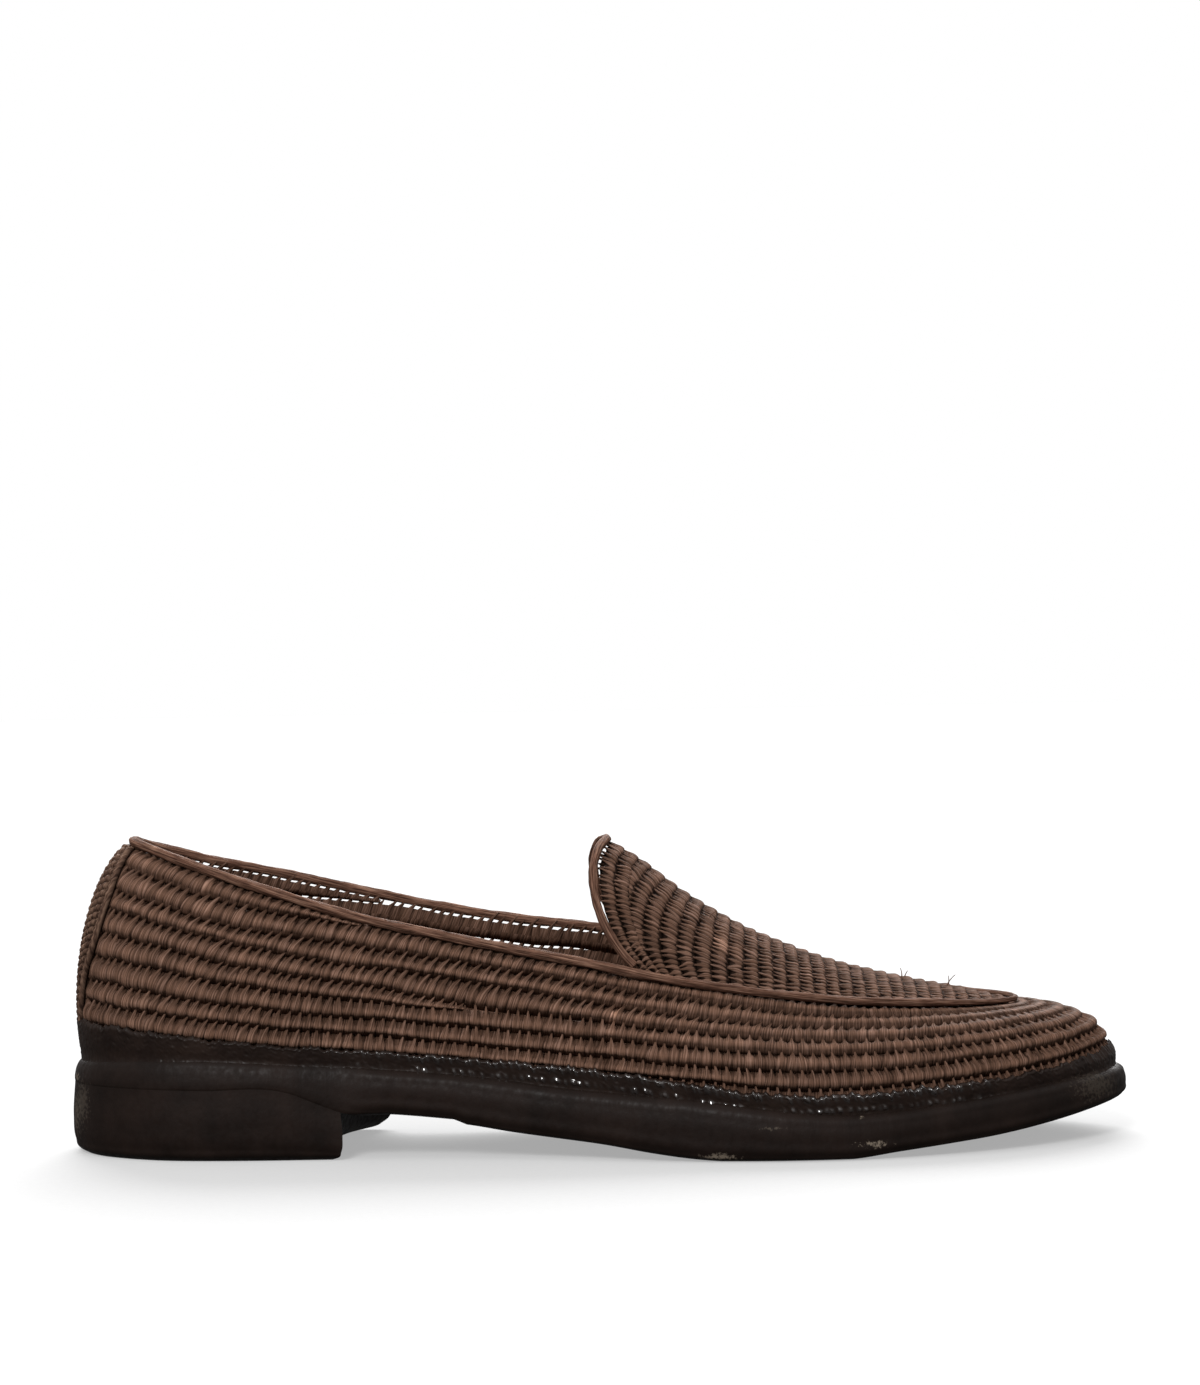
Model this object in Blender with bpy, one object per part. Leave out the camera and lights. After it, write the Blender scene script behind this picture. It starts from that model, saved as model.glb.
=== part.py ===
"""Woven raffia loafer, right shoe: rubber sole, heel and rand, woven upper, piping and insole.

Lengths are millimetres from the back of the heel (x), across the shoe (y, inner side positive)
and above the ground (z). They become metres, with the box centred on x and y, in `to_world`.
"""
import math

import bmesh
import bpy
import numpy as np

LENGTH = 290.0
BOX_CENTRE_X = LENGTH / 2
STATIONS = 64
GAP = 0.3
SHARP_EDGE = 50.0
SMALL_STEP = 1e-3

# Sole and heel
SOLE_STATIONS = STATIONS // 2
HALF_SOLE_STEP = (105.5, 108.5)
HEEL_SEAT_EDGE = (62.0, 66.0, 70.0, 74.0, 78.0)
SOLE_EDGE_INSET = 2.7
HEEL_STATIONS = 16
HEEL_SEAT_GAP = 0.45
BREAST_HOLLOW = 7.0
BREAST_ROUNDING = 0.9

# Upper
WALL = 1.6
ROW_RISE = 0.55
ROW_START_ANGLE = 0.33
FEATHER_INSET = 4.2
RAND_THICKNESS = 1.1
INSOLE_THICKNESS = 2.0
INSOLE_CLEARANCE = 0.6
INSOLE_INSET = FEATHER_INSET + WALL + INSOLE_CLEARANCE
FULL_ROW_SHARE = 0.1

# Piping and back strip
CORD_RADIUS = 1.3
CORD_SEAT = CORD_RADIUS + GAP
EDGE_START, EDGE_END = 17.8, 259.8
STRIP_THICKNESS = 1.0
STRIP_LIFT = 0.05
STRIP_TOP_SHARE = 0.98

# Apron
APRON_ROWS = 31
APRON_COLUMNS = 8
APRON_TOE_STEPS = (2.5, 1.4, 0.5)
APRON_FLAT_STATIONS = 4
APRON_RIM = 0.3
APRON_EDGE_SHARE = 0.975
APRON_EDGE_DEPTH, APRON_INNER_DEPTH = 0.45 * WALL, 1.35 * WALL
THROAT_CREST_X = 148.1
THROAT_FADE = 42.0
THROAT_CLEARANCE = 0.5
THROAT_CORD_REACH = 0.955
ARCH_POWER_THROAT, ARCH_POWER_TOE = 2.1, 2.4

# Sole edge in plan: distance from the heel, outer side, inner side
OUTLINE = np.array([
    (0.0, 3.0, 3.0),
    (12.0, -19.0, 25.0),
    (28.0, -27.5, 33.5),
    (50.0, -30.5, 36.0),
    (80.0, -31.0, 34.0),
    (105.0, -33.0, 31.5),
    (130.0, -37.0, 31.5),
    (160.0, -44.5, 40.0),
    (190.0, -48.8, 47.5),
    (215.0, -47.4, 48.8),
    (245.0, -39.4, 44.8),
    (265.0, -29.0, 38.0),
    (278.0, -18.0, 29.4),
    (286.5, -6.8, 18.6),
    (290.0, 5.8, 5.8),
])

# Sole heights: distance from the heel, underside, top (the feather line)
SOLE = np.array([
    (0.0, 19.4, 25.0),
    (20.0, 19.4, 26.8),
    (38.0, 19.2, 27.0),
    (62.0, 18.2, 25.7),
    (70.0, 15.0, 25.3),
    (77.0, 12.5, 24.9),
    (90.0, 11.8, 24.0),
    (103.5, 10.6, 23.0),
    (105.5, 10.4, 22.8),
    (108.5, 9.1, 22.5),
    (110.5, 8.8, 22.3),
    (120.0, 7.2, 21.2),
    (132.0, 5.6, 19.6),
    (145.0, 4.0, 18.4),
    (158.0, 1.9, 17.4),
    (168.0, 0.6, 16.6),
    (176.0, 0.0, 15.7),
    (198.0, 0.0, 12.8),
    (212.0, 0.0, 12.0),
    (224.0, 1.4, 12.6),
    (238.0, 2.8, 13.9),
    (252.0, 4.2, 15.3),
    (270.0, 6.8, 17.2),
    (290.0, 10.2, 18.9),
])

# Sole edge: share of the height, offset outwards over the heel, offset outwards ahead of it
SOLE_EDGE = np.array([
    (0.00, -1.2, -4.0),
    (0.03, -0.7, -2.2),
    (0.13, -0.5, -0.6),
    (0.40, -0.7, 0.0),
    (0.72, -1.3, -0.3),
    (0.92, -2.1, -1.3),
    (1.00, -SOLE_EDGE_INSET, -SOLE_EDGE_INSET),
])
# Heel block: share of the height, offset outwards, breast on the outer side, on the inner side
HEEL_EDGE = np.array([
    (0.00, -3.4, 76.0, 79.5),
    (0.05, -1.6, 76.0, 81.5),
    (0.18, -0.5, 76.0, 84.0),
    (0.50, 0.0, 76.0, 86.0),
    (1.00, -0.6, 76.0, 86.5),
])

# Rand: distance from the heel, height of its top edge
RAND_TOP = np.array([
    (0.0, 36.4),
    (15.0, 35.2),
    (38.0, 32.8),
    (60.0, 30.6),
    (92.0, 28.4),
    (115.0, 26.5),
    (135.0, 24.8),
    (156.0, 22.4),
    (171.0, 20.2),
    (187.0, 18.0),
    (198.0, 17.2),
    (214.0, 17.2),
    (235.0, 18.2),
    (264.0, 20.2),
    (276.0, 21.8),
    (290.0, 24.2),
])
# Rand section: share of its height, distance from the wall
RAND_SECTION = (
    (0.08, GAP),
    (0.50, GAP),
    (1.00, GAP),
    (1.00, GAP + 0.45 * RAND_THICKNESS),
    (0.90, GAP + RAND_THICKNESS),
    (0.45, GAP + 1.15 * RAND_THICKNESS),
    (0.08, GAP + RAND_THICKNESS),
)

# Centre of the edge piping: x, then y and z on the outer side, y and z on the inner side,
# and the lean of its seat from upright, outwards, in degrees
EDGE = np.array([
    (17.8, 3.0, 84.6, 3.0, 84.6, -32.0),
    (26.4, -9.5, 82.0, 15.5, 81.2, -26.0),
    (37.8, -15.0, 78.0, 21.0, 77.8, -20.0),
    (60.0, -21.5, 70.9, 28.5, 72.5, -14.0),
    (81.4, -25.0, 64.5, 31.0, 67.3, -10.0),
    (102.9, -28.0, 59.8, 32.0, 62.5, -8.0),
    (124.3, -30.0, 55.4, 32.5, 58.8, -4.0),
    (145.6, -31.0, 51.1, 33.0, 56.0, 6.0),
    (158.0, -31.0, 48.3, 33.0, 53.4, 52.0),
    (172.2, -30.0, 45.8, 32.5, 49.6, 54.0),
    (193.6, -28.0, 42.5, 31.0, 44.8, 46.0),
    (215.2, -25.0, 40.1, 29.0, 41.6, 36.0),
    (237.2, -18.8, 38.9, 25.0, 39.2, 24.0),
    (252.6, -8.8, 38.3, 16.4, 38.4, 15.0),
    (259.8, 4.0, 38.1, 4.0, 38.1, 8.0),
])

# Upper side wall: distance from the heel, flare at the feather line and lean in at the top in
# degrees, and how far each of the two slopes carries, as shares of the wall's height
WALL_SHAPE = np.array([
    (0.0, 12.0, 55.0, 0.36, 0.22),
    (20.0, 8.0, 36.0, 0.42, 0.32),
    (60.0, 6.0, 16.0, 0.42, 0.42),
    (100.0, 7.0, 12.0, 0.42, 0.42),
    (140.0, 9.0, 18.0, 0.42, 0.42),
    (170.0, 13.0, 30.0, 0.42, 0.42),
    (200.0, 14.0, 44.0, 0.42, 0.42),
    (230.0, 12.0, 60.0, 0.40, 0.44),
    (260.0, 8.0, 78.0, 0.38, 0.50),
    (290.0, 5.0, 92.0, 0.36, 0.56),
])

# Gaps between the woven rows, as shares of the way from rand to top edge: distance, then each gap.
# The third row runs out where two gaps meet, and the eighth under the piping.
ROW_GAPS = np.array([
    (0.0, 0.10, 0.22, 0.36, 0.49, 0.62, 0.73, 0.87),
    (38.0, 0.10, 0.22, 0.36, 0.49, 0.62, 0.73, 0.87),
    (85.0, 0.11, 0.24, 0.38, 0.51, 0.66, 0.82, 1.00),
    (117.0, 0.10, 0.26, 0.43, 0.43, 0.67, 0.83, 1.00),
    (146.0, 0.10, 0.29, 0.49, 0.49, 0.67, 0.84, 1.00),
    (198.0, 0.19, 0.37, 0.53, 0.53, 0.70, 0.87, 1.00),
    (252.0, 0.18, 0.35, 0.52, 0.52, 0.69, 0.85, 1.00),
    (290.0, 0.17, 0.34, 0.51, 0.51, 0.68, 0.84, 1.00),
])
# Row section: share of the row's height, share of its rise
ROW_SECTION = ((0.0, 0.0), (0.3, 1.0), (0.7, 1.0))

# Back strip: share of its way up, half its width as an angle round the wall
STRIP_EDGE = np.array([
    (0.0, 0.135),
    (0.24, 0.18),
    (0.42, 0.222),
    (0.58, 0.233),
    (0.72, 0.228),
    (0.86, 0.203),
    (1.0, 0.17),
])

# Apron crest: distance from the heel, height, sideways place
CREST = np.array([
    (142.0, 86.4, 2.0),
    (146.4, 84.0, 2.0),
    (156.0, 78.0, 2.2),
    (169.0, 68.2, 2.5),
    (182.0, 60.0, 2.8),
    (195.0, 53.9, 3.0),
    (208.0, 48.9, 3.2),
    (221.0, 45.2, 3.5),
    (234.0, 42.2, 3.7),
    (248.0, 39.4, 3.9),
    (254.0, 37.9, 4.0),
    (259.8, 36.5, 4.0),
])
# Throat edge: share of the half width from the crest, distance behind or ahead of the crest's edge
THROAT = np.array([
    (0.0, 0.0),
    (0.18, -0.9),
    (0.38, -2.9),
    (0.6, -4.0),
    (0.76, -2.4),
    (0.86, 0.8),
    (0.94, 5.5),
    (1.0, 11.0),
])


def smooth(knots, values, query):
    """Cubic curve through a table's values."""
    slope = np.gradient(values, knots)
    i = np.clip(np.searchsorted(knots, query, side="right") - 1, 0, len(knots) - 2)
    span = knots[i + 1] - knots[i]
    t = np.clip((query - knots[i]) / span, 0.0, 1.0)
    rise = values[i + 1] - values[i]
    bend = (1 - t) * (slope[i] * span - rise) - t * (slope[i + 1] * span - rise)
    return values[i] + rise * t + t * (1 - t) * bend


def along(table, column, x):
    """A table's column at a distance from the heel."""
    return smooth(table[:, 0], table[:, column], np.asarray(x, dtype=float))


def around(table, outer, inner, phi):
    """A table's two side columns as one closed curve: 0 at the heel, pi at the toe."""
    first, last = table[0, 0], table[-1, 0]
    knots = np.arccos(1 - 2 * (table[:, 0] - first) / (last - first))
    knots = np.concatenate([knots, 2 * math.pi - knots[-2:0:-1]])
    values = np.concatenate([table[:, outer], table[-2:0:-1, inner]])
    turn = 2 * math.pi
    knots = np.concatenate([knots - turn, knots, knots + turn])
    return smooth(knots, np.tile(values, 3), np.mod(phi, turn))


def stretch(phi, first, last):
    """Distance from the heel of a point on a closed curve."""
    return first + (last - first) * (1 - np.cos(phi)) / 2


def unit(vectors):
    return vectors / np.linalg.norm(vectors, axis=-1, keepdims=True)


def outline(phi, offset):
    """Point on the sole edge in plan, moved outwards by an offset, and its outward direction."""

    def edge(angle):
        return np.stack([stretch(angle, 0.0, LENGTH), around(OUTLINE, 1, 2, angle)], axis=-1)

    tangent = unit(edge(phi + SMALL_STEP) - edge(phi - SMALL_STEP))
    outwards = np.stack([tangent[..., 1], -tangent[..., 0]], axis=-1)
    return edge(phi) + np.asarray(offset)[..., None] * outwards, outwards


def join(plan, z):
    return np.concatenate([plan, np.broadcast_to(z, plan.shape[:-1])[..., None]], axis=-1)


def on_sole(plan, lift):
    """Points in plan set above the top of the sole."""
    return join(plan, along(SOLE, 2, plan[..., 0]) + lift)


def cord_line(phi):
    """Centre of the edge piping."""
    return np.stack([stretch(phi, EDGE_START, EDGE_END), around(EDGE, 1, 3, phi),
                     around(EDGE, 2, 4, phi)], axis=-1)


def top_edge(phi):
    """Top edge of the side wall, where the piping is seated."""
    tangent = unit((cord_line(phi + SMALL_STEP) - cord_line(phi - SMALL_STEP))[..., :2])
    outwards = np.stack([tangent[..., 1], -tangent[..., 0]], axis=-1)
    lean = np.radians(around(EDGE, 5, 5, phi))
    seat = join(outwards * np.sin(lean)[..., None], np.cos(lean))
    return cord_line(phi) - CORD_SEAT * seat, outwards


def wall(phi, share):
    """Outside of the side wall without its rows, from the feather line (0) to the top edge (1)."""
    phi, share = np.broadcast_arrays(np.asarray(phi, dtype=float), np.asarray(share, dtype=float))
    foot, outwards = outline(phi, np.full(phi.shape, -FEATHER_INSET))
    x = stretch(phi, 0.0, LENGTH)
    foot = on_sole(foot, GAP)
    top, top_outwards = top_edge(phi)
    flare = np.radians(along(WALL_SHAPE, 1, x))
    lean = np.radians(along(WALL_SHAPE, 2, x))
    rise = np.linalg.norm(top - foot, axis=-1)[..., None]
    leave = join(outwards * np.sin(flare)[..., None], np.cos(flare))
    arrive = join(-top_outwards * np.sin(lean)[..., None], np.cos(lean))
    low = foot + leave * rise * along(WALL_SHAPE, 3, x)[..., None]
    high = top - arrive * rise * along(WALL_SHAPE, 4, x)[..., None]
    t = share[..., None]
    return ((1 - t) ** 3 * foot + 3 * t * (1 - t) ** 2 * low
            + 3 * t * t * (1 - t) * high + t ** 3 * top)


def wall_normal(phi, share):
    """Outward direction of the side wall."""
    low, high = np.maximum(share - SMALL_STEP, 0.0), np.minimum(share + SMALL_STEP, 1.0)
    forwards = wall(phi + SMALL_STEP, share) - wall(phi - SMALL_STEP, share)
    return unit(np.cross(forwards, wall(phi, high) - wall(phi, low)))


def wall_offset(phi, share, offset):
    return wall(phi, share) + wall_normal(phi, share) * np.asarray(offset)[..., None]


def rand_share(phi):
    """Share of the wall's way up at which the rand ends."""
    samples = np.linspace(0.0, 1.0, 201)
    heights = wall(np.asarray(phi)[:, None], samples[None, :])[..., 2]
    goal = along(RAND_TOP, 1, stretch(phi, 0.0, LENGTH))
    return np.array([np.interp(g, h, samples) for g, h in zip(goal, heights)])


def arc_shares(phi, start, shares):
    """Shares of the wall's way up that lie at shares of the arc from a start to the top edge."""
    samples = np.linspace(0.0, 1.0, 161)
    found = np.empty(shares.shape)
    for i, angle in enumerate(phi):
        span = start[i] + (1 - start[i]) * samples
        points = wall(np.full(samples.shape, angle), span)
        arc = np.concatenate([[0.0], np.cumsum(np.linalg.norm(np.diff(points, axis=0), axis=1))])
        found[i] = np.interp(shares[i], arc / arc[-1], span)
    return found


def row_levels(phi):
    """Levels of the wall's outside from the feather line up: share of the way, rise of the row."""
    x = stretch(phi, 0.0, LENGTH)
    gaps = np.stack([np.interp(x, ROW_GAPS[:, 0], ROW_GAPS[:, k])
                     for k in range(1, ROW_GAPS.shape[1])], axis=-1)
    lines = np.concatenate([np.zeros((len(phi), 1)), gaps, np.ones((len(phi), 1))], axis=1)
    bare = np.where(np.abs(np.mod(phi + math.pi, 2 * math.pi) - math.pi) > ROW_START_ANGLE, 1.0, 0.0)
    places, rises = [], []
    for row in range(lines.shape[1] - 1):
        height = lines[:, row + 1] - lines[:, row]
        swell = np.clip(height / FULL_ROW_SHARE, 0.0, 1.0) * bare
        for share, rise in ROW_SECTION:
            places.append(lines[:, row] + share * height)
            rises.append(rise * ROW_RISE * swell)
    places.append(np.ones(len(phi)))
    rises.append(np.zeros(len(phi)))
    start = rand_share(phi)
    shares = arc_shares(phi, start, np.stack(places, axis=1))
    hidden = np.stack([np.zeros(len(phi)), start / 2], axis=1)
    rises = np.concatenate([np.zeros(hidden.shape), np.stack(rises, axis=1)], axis=1)
    return np.concatenate([hidden, shares], axis=1), rises


def apron_base(x, across):
    """Outside of the apron without its rows; across runs from -1, outer side, to 1, inner side."""
    phi = np.arccos(np.clip(1 - 2 * (x - EDGE_START) / (EDGE_END - EDGE_START), -1.0, 1.0))
    side = np.where(across < 0, phi, 2 * math.pi - phi)
    seam, _ = top_edge(side)
    reach = np.abs(across)
    toeward = np.clip((x - THROAT_CREST_X) / (EDGE_END - THROAT_CREST_X), 0.0, 1.0)
    power = ARCH_POWER_THROAT + (ARCH_POWER_TOE - ARCH_POWER_THROAT) * toeward
    crest_y, crest_z = along(CREST, 2, x), along(CREST, 1, x)
    y = crest_y + (seam[..., 1] - crest_y) * reach
    z = seam[..., 2] + (crest_z - seam[..., 2]) * (1 - reach ** power)
    return np.stack([x + (seam[..., 0] - x) * reach ** 4, y, z], axis=-1)


def apron_place(x, across):
    """Distance from the heel of a cross row, which follows the throat edge near the throat."""
    fade = np.clip(1 - (x - THROAT_CREST_X) / THROAT_FADE, 0.0, 1.0) ** 1.5
    both_sides = np.concatenate([THROAT[:0:-1] * (-1, 1), THROAT])
    bend = smooth(both_sides[:, 0], both_sides[:, 1], across)
    return x + bend * fade


def apron(x, across):
    return apron_base(apron_place(x, across), across)


def apron_normal(x, across):
    forwards = apron(x + SMALL_STEP, across) - apron(x - SMALL_STEP, across)
    sideways = apron(x, across + SMALL_STEP) - apron(x, across - SMALL_STEP)
    return unit(np.cross(forwards, sideways))


def to_world(points):
    """Millimetres from the heel to metres about the centre of the box."""
    return (np.asarray(points) - np.array([BOX_CENTRE_X, 0.0, 0.0])) * 0.001


def grid_object(name, points, wrap_stations, collection, material):
    """Closed surface from a grid of points: each row is one section's closed loop."""
    loop = points.shape[1]
    columns = np.concatenate([points, points[:, :1]], axis=1)
    if wrap_stations:
        columns = np.concatenate([columns, columns[:1]], axis=0)
    columns = to_world(columns)
    mesh = bmesh.new()
    bmesh.ops.create_grid(mesh, x_segments=columns.shape[0] - 1, y_segments=loop, size=0.5)
    for vertex in mesh.verts:
        i = round((vertex.co.x + 0.5) * (columns.shape[0] - 1))
        j = round((vertex.co.y + 0.5) * loop)
        vertex.co = columns[i, j]
    bmesh.ops.remove_doubles(mesh, verts=mesh.verts, dist=1e-5)
    bmesh.ops.recalc_face_normals(mesh, faces=mesh.faces)
    return mesh_object(name, mesh, collection, material)


def mesh_object(name, mesh, collection, material):
    data = bpy.data.meshes.new(name)
    mesh.to_mesh(data)
    mesh.free()
    data.shade_smooth()
    data.set_sharp_from_angle(angle=math.radians(SHARP_EDGE))
    made = bpy.data.objects.new(name, data)
    made.data.materials.append(material)
    collection.objects.link(made)
    return made


def plain_material(name, colour, roughness):
    made = bpy.data.materials.new(name)
    made.use_nodes = True
    shader = made.node_tree.nodes["Principled BSDF"]
    shader.inputs["Base Color"].default_value = (*colour, 1.0)
    shader.inputs["Roughness"].default_value = roughness
    shader.inputs["Metallic"].default_value = 0.0
    return made


def make_outsole(collection, material):
    """Sole as sections across the shoe, each with two bulging edges."""
    angles = np.linspace(0.0, math.pi, SOLE_STATIONS + 1)
    extra = np.arccos(1 - 2 * np.array(HALF_SOLE_STEP + HEEL_SEAT_EDGE) / LENGTH)
    angles = np.sort(np.concatenate([angles, extra]))
    x = stretch(angles, 0.0, LENGTH)
    low = np.maximum(along(SOLE, 1, x), 0.0)
    forefoot = np.interp(x, (HEEL_SEAT_EDGE[0], HEEL_SEAT_EDGE[-1]), (0.0, 1.0))
    sides = []
    for phi in (angles, 2 * math.pi - angles):
        high = on_sole(outline(phi, np.full(phi.shape, -SOLE_EDGE_INSET))[0], 0.0)[..., 2]
        levels = [join(outline(phi, seat + (ahead - seat) * forefoot)[0], low + share * (high - low))
                  for share, seat, ahead in SOLE_EDGE]
        sides.append(np.stack(levels, axis=1))
    outer, inner = sides
    inner_turned = inner[:, ::-1]
    between = np.linspace(0.0, 1.0, 5)[None, 1:-1, None]
    top = outer[:, -1:] * (1 - between) + inner[:, -1:] * between
    bottom = inner[:, :1] * (1 - between) + outer[:, :1] * between
    loops = np.concatenate([outer, top, inner_turned, bottom], axis=1)
    grid_object("outsole", loops, False, collection, material)


def make_heel(collection, material):
    """Heel block under the seat of the sole, its breast hollowed and slanted."""
    across = np.linspace(-1.0, 1.0, 7)
    share = 1 - np.cos(np.linspace(0.0, math.pi / 2, HEEL_STATIONS + 1))

    def place(w, level, q):
        """Point of the block: sideways -1 to 1, up 0 to 1, forwards 0 to 1."""
        offset, outer, inner = (np.interp(level, HEEL_EDGE[:, 0], HEEL_EDGE[:, k]) for k in (1, 2, 3))
        breast = outer + (inner - outer) * (w + 1) / 2 - BREAST_HOLLOW * (1 - w * w)
        x = q * (breast + offset * BREAST_ROUNDING)
        phi = np.arccos(1 - 2 * x / LENGTH)
        offsets = np.full(phi.shape, offset)
        left = outline(phi, offsets)[0]
        right = outline(2 * math.pi - phi, offsets)[0]
        plan = left + (right - left) * ((w + 1) / 2)
        roof = along(SOLE, 1, np.maximum(plan[..., 0], 0.0)) - HEEL_SEAT_GAP
        return join(plan, roof * level)

    heights = HEEL_EDGE[1:-1, 0]
    loop = [(w, 0.0) for w in across]
    loop += [(1.0, level) for level in heights]
    loop += [(w, 1.0) for w in across[::-1]]
    loop += [(-1.0, level) for level in heights[::-1]]
    points = np.stack([place(w, level, share) for w, level in loop], axis=1)
    closing = np.stack([place(w, 0.5, share[-1:]) for w, _ in loop], axis=1)
    points = np.concatenate([points, closing], axis=0)
    grid_object("heel", points, False, collection, material)


def make_insole(collection, material):
    angles = np.linspace(0.0, math.pi, SOLE_STATIONS + 1)
    inset = np.full(angles.shape, -INSOLE_INSET)
    outer = outline(angles, inset)[0]
    inner = outline(2 * math.pi - angles, inset)[0]
    across = np.linspace(0.0, 1.0, 4)
    bottom = [on_sole(outer + (inner - outer) * w, GAP) for w in across]
    top = [on_sole(outer + (inner - outer) * w, GAP + INSOLE_THICKNESS) for w in across[::-1]]
    grid_object("insole", np.stack(bottom + top, axis=1), False, collection, material)


def make_rand(collection, material):
    """Band over the wall's lower edge, cut from the wall's own surface."""
    phi = np.linspace(0.0, 2 * math.pi, STATIONS, endpoint=False)
    top = rand_share(phi)
    loops = [wall_offset(phi, top * share, np.full(phi.shape, offset))
             for share, offset in RAND_SECTION]
    grid_object("rand", np.stack(loops, axis=1), True, collection, material)


def make_side_wall(collection, material):
    """Woven side wall: rows raised outside, plain inside, open at the top and underneath."""
    phi = np.linspace(0.0, 2 * math.pi, STATIONS, endpoint=False)
    shares, rises = row_levels(phi)
    angles = np.repeat(phi[:, None], shares.shape[1], axis=1)
    outside = wall_offset(angles, shares, rises)
    levels = np.linspace(1.0, 0.0, 5)
    angles, levels = np.meshgrid(phi, levels, indexing="ij")
    inside = wall_offset(angles, levels, np.full(levels.shape, -WALL))
    return grid_object("upper", np.concatenate([outside, inside], axis=1), True, collection, material)


def apron_stations():
    """Distances along the crest: a gap and a crown for each cross row, closer at the toe."""
    toe = EDGE_END - np.array(APRON_TOE_STEPS)
    rear = THROAT_CREST_X + CORD_SEAT + THROAT_CLEARANCE
    return np.concatenate([np.linspace(rear, toe[0], 2 * APRON_ROWS - 1), toe[1:]])


def make_apron(collection, material):
    """Woven apron from seam to seam, its edges sunk into the side wall's top."""
    x = apron_stations()
    rises = np.where(np.arange(len(x)) % 2 == 1, ROW_RISE, 0.0)
    rises[-APRON_FLAT_STATIONS:] = 0.0
    across = np.linspace(-1.0, 1.0, APRON_COLUMNS + 1)[1:-1]
    outside, inside = [], []
    for w in across:
        w = np.full(x.shape, w)
        surface, normal = apron(x, w), apron_normal(x, w)
        outside.append(surface + normal * rises[:, None])
        inside.append(surface - normal * WALL)

    def sunk(side, depth):
        seam = apron_place(x, np.full(x.shape, side))
        phi = np.arccos(np.clip(1 - 2 * (seam - EDGE_START) / (EDGE_END - EDGE_START), -1.0, 1.0))
        phi = phi if side < 0 else 2 * math.pi - phi
        share = np.full(phi.shape, APRON_EDGE_SHARE)
        return wall_offset(phi, share, np.full(phi.shape, -depth))

    loop = [sunk(-1, APRON_EDGE_DEPTH)] + outside + [sunk(1, APRON_EDGE_DEPTH)]
    loop += [sunk(1, APRON_INNER_DEPTH)] + inside[::-1] + [sunk(-1, APRON_INNER_DEPTH)]
    points = np.stack(loop, axis=1)
    half = points.shape[1] // 2
    rim = (points[:1, :half] + points[:1, :half - 1:-1]) / 2
    rim[..., 0] -= APRON_RIM
    rim = np.concatenate([rim, rim[:, ::-1]], axis=1)
    depths = np.repeat([APRON_EDGE_DEPTH, APRON_INNER_DEPTH], half)
    tip = wall_offset(np.full(depths.shape, math.pi), np.full(depths.shape, APRON_EDGE_SHARE), -depths)
    points = np.concatenate([rim, points, tip[None]], axis=0)
    return grid_object("apron_form", points, False, collection, material)


def make_upper(parts, cutters, material):
    """Side wall and apron joined to one hollow wall."""
    upper = make_side_wall(parts, material)
    form = make_apron(cutters, material)
    form.hide_render = True
    form.display_type = "WIRE"
    union = upper.modifiers.new("apron", "BOOLEAN")
    union.operation = "UNION"
    union.object = form


def make_cord(name, points, closed, collection, material):
    curve = bpy.data.curves.new(name, "CURVE")
    curve.dimensions = "3D"
    curve.bevel_depth = CORD_RADIUS * 0.001
    curve.bevel_resolution = 2
    curve.use_fill_caps = not closed
    line = curve.splines.new("POLY")
    line.points.add(len(points) - 1)
    line.use_cyclic_u = closed
    for point, place in zip(line.points, to_world(points)):
        point.co = (*place, 1.0)
    line.use_smooth = True
    curve.materials.append(material)
    collection.objects.link(bpy.data.objects.new(name, curve))


def make_piping(collection, material):
    phi = np.linspace(0.0, 2 * math.pi, STATIONS, endpoint=False)
    make_cord("edge_piping", cord_line(phi), True, collection, material)
    across = THROAT_CORD_REACH * np.sin(np.linspace(-1.0, 1.0, 21) * math.pi / 2)
    x = np.full(across.shape, THROAT_CREST_X)
    make_cord("throat_piping", apron(x, across), False, collection, material)


def make_back_strip(collection, material):
    """Strip over the heel seam, laid on the wall, its ends closed halfway through its thickness."""
    across = np.linspace(-1.0, 1.0, 7)
    low = rand_share(np.array([0.0]))[0] + STRIP_LIFT

    def section(level, outside, inside):
        phi = across * along(STRIP_EDGE, 1, level)
        share = np.full(phi.shape, low + (STRIP_TOP_SHARE - low) * level)
        return np.concatenate([wall_offset(phi, share, np.full(phi.shape, outside)),
                               wall_offset(phi[::-1], share, np.full(phi.shape, inside))])

    middle = GAP + STRIP_THICKNESS / 2
    loops = [section(level, GAP + STRIP_THICKNESS, GAP) for level in np.linspace(0.0, 1.0, 9)]
    loops = [section(0.0, middle, middle)] + loops + [section(1.0, middle, middle)]
    grid_object("back_strip", np.stack(loops), False, collection, material)


def main():
    for thing in list(bpy.data.objects):
        bpy.data.objects.remove(thing, do_unlink=True)
    parts = bpy.data.collections.new("woven_loafer")
    cutters = bpy.data.collections.new("cutters")
    bpy.context.scene.collection.children.link(parts)
    bpy.context.scene.collection.children.link(cutters)
    make_outsole(parts, plain_material("moulded_rubber", (0.016, 0.013, 0.012), 0.45))
    make_heel(parts, plain_material("heel_rubber", (0.016, 0.013, 0.012), 0.45))
    make_rand(parts, plain_material("dipped_rubber", (0.018, 0.015, 0.014), 0.4))
    make_upper(parts, cutters, plain_material("woven_raffia", (0.10, 0.06, 0.045), 0.7))
    cord = plain_material("wrapped_cord", (0.09, 0.055, 0.042), 0.65)
    make_piping(parts, cord)
    make_back_strip(parts, plain_material("knitted_raffia", (0.09, 0.055, 0.042), 0.75))
    make_insole(parts, plain_material("insole_leather", (0.07, 0.045, 0.035), 0.6))


main()
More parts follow.
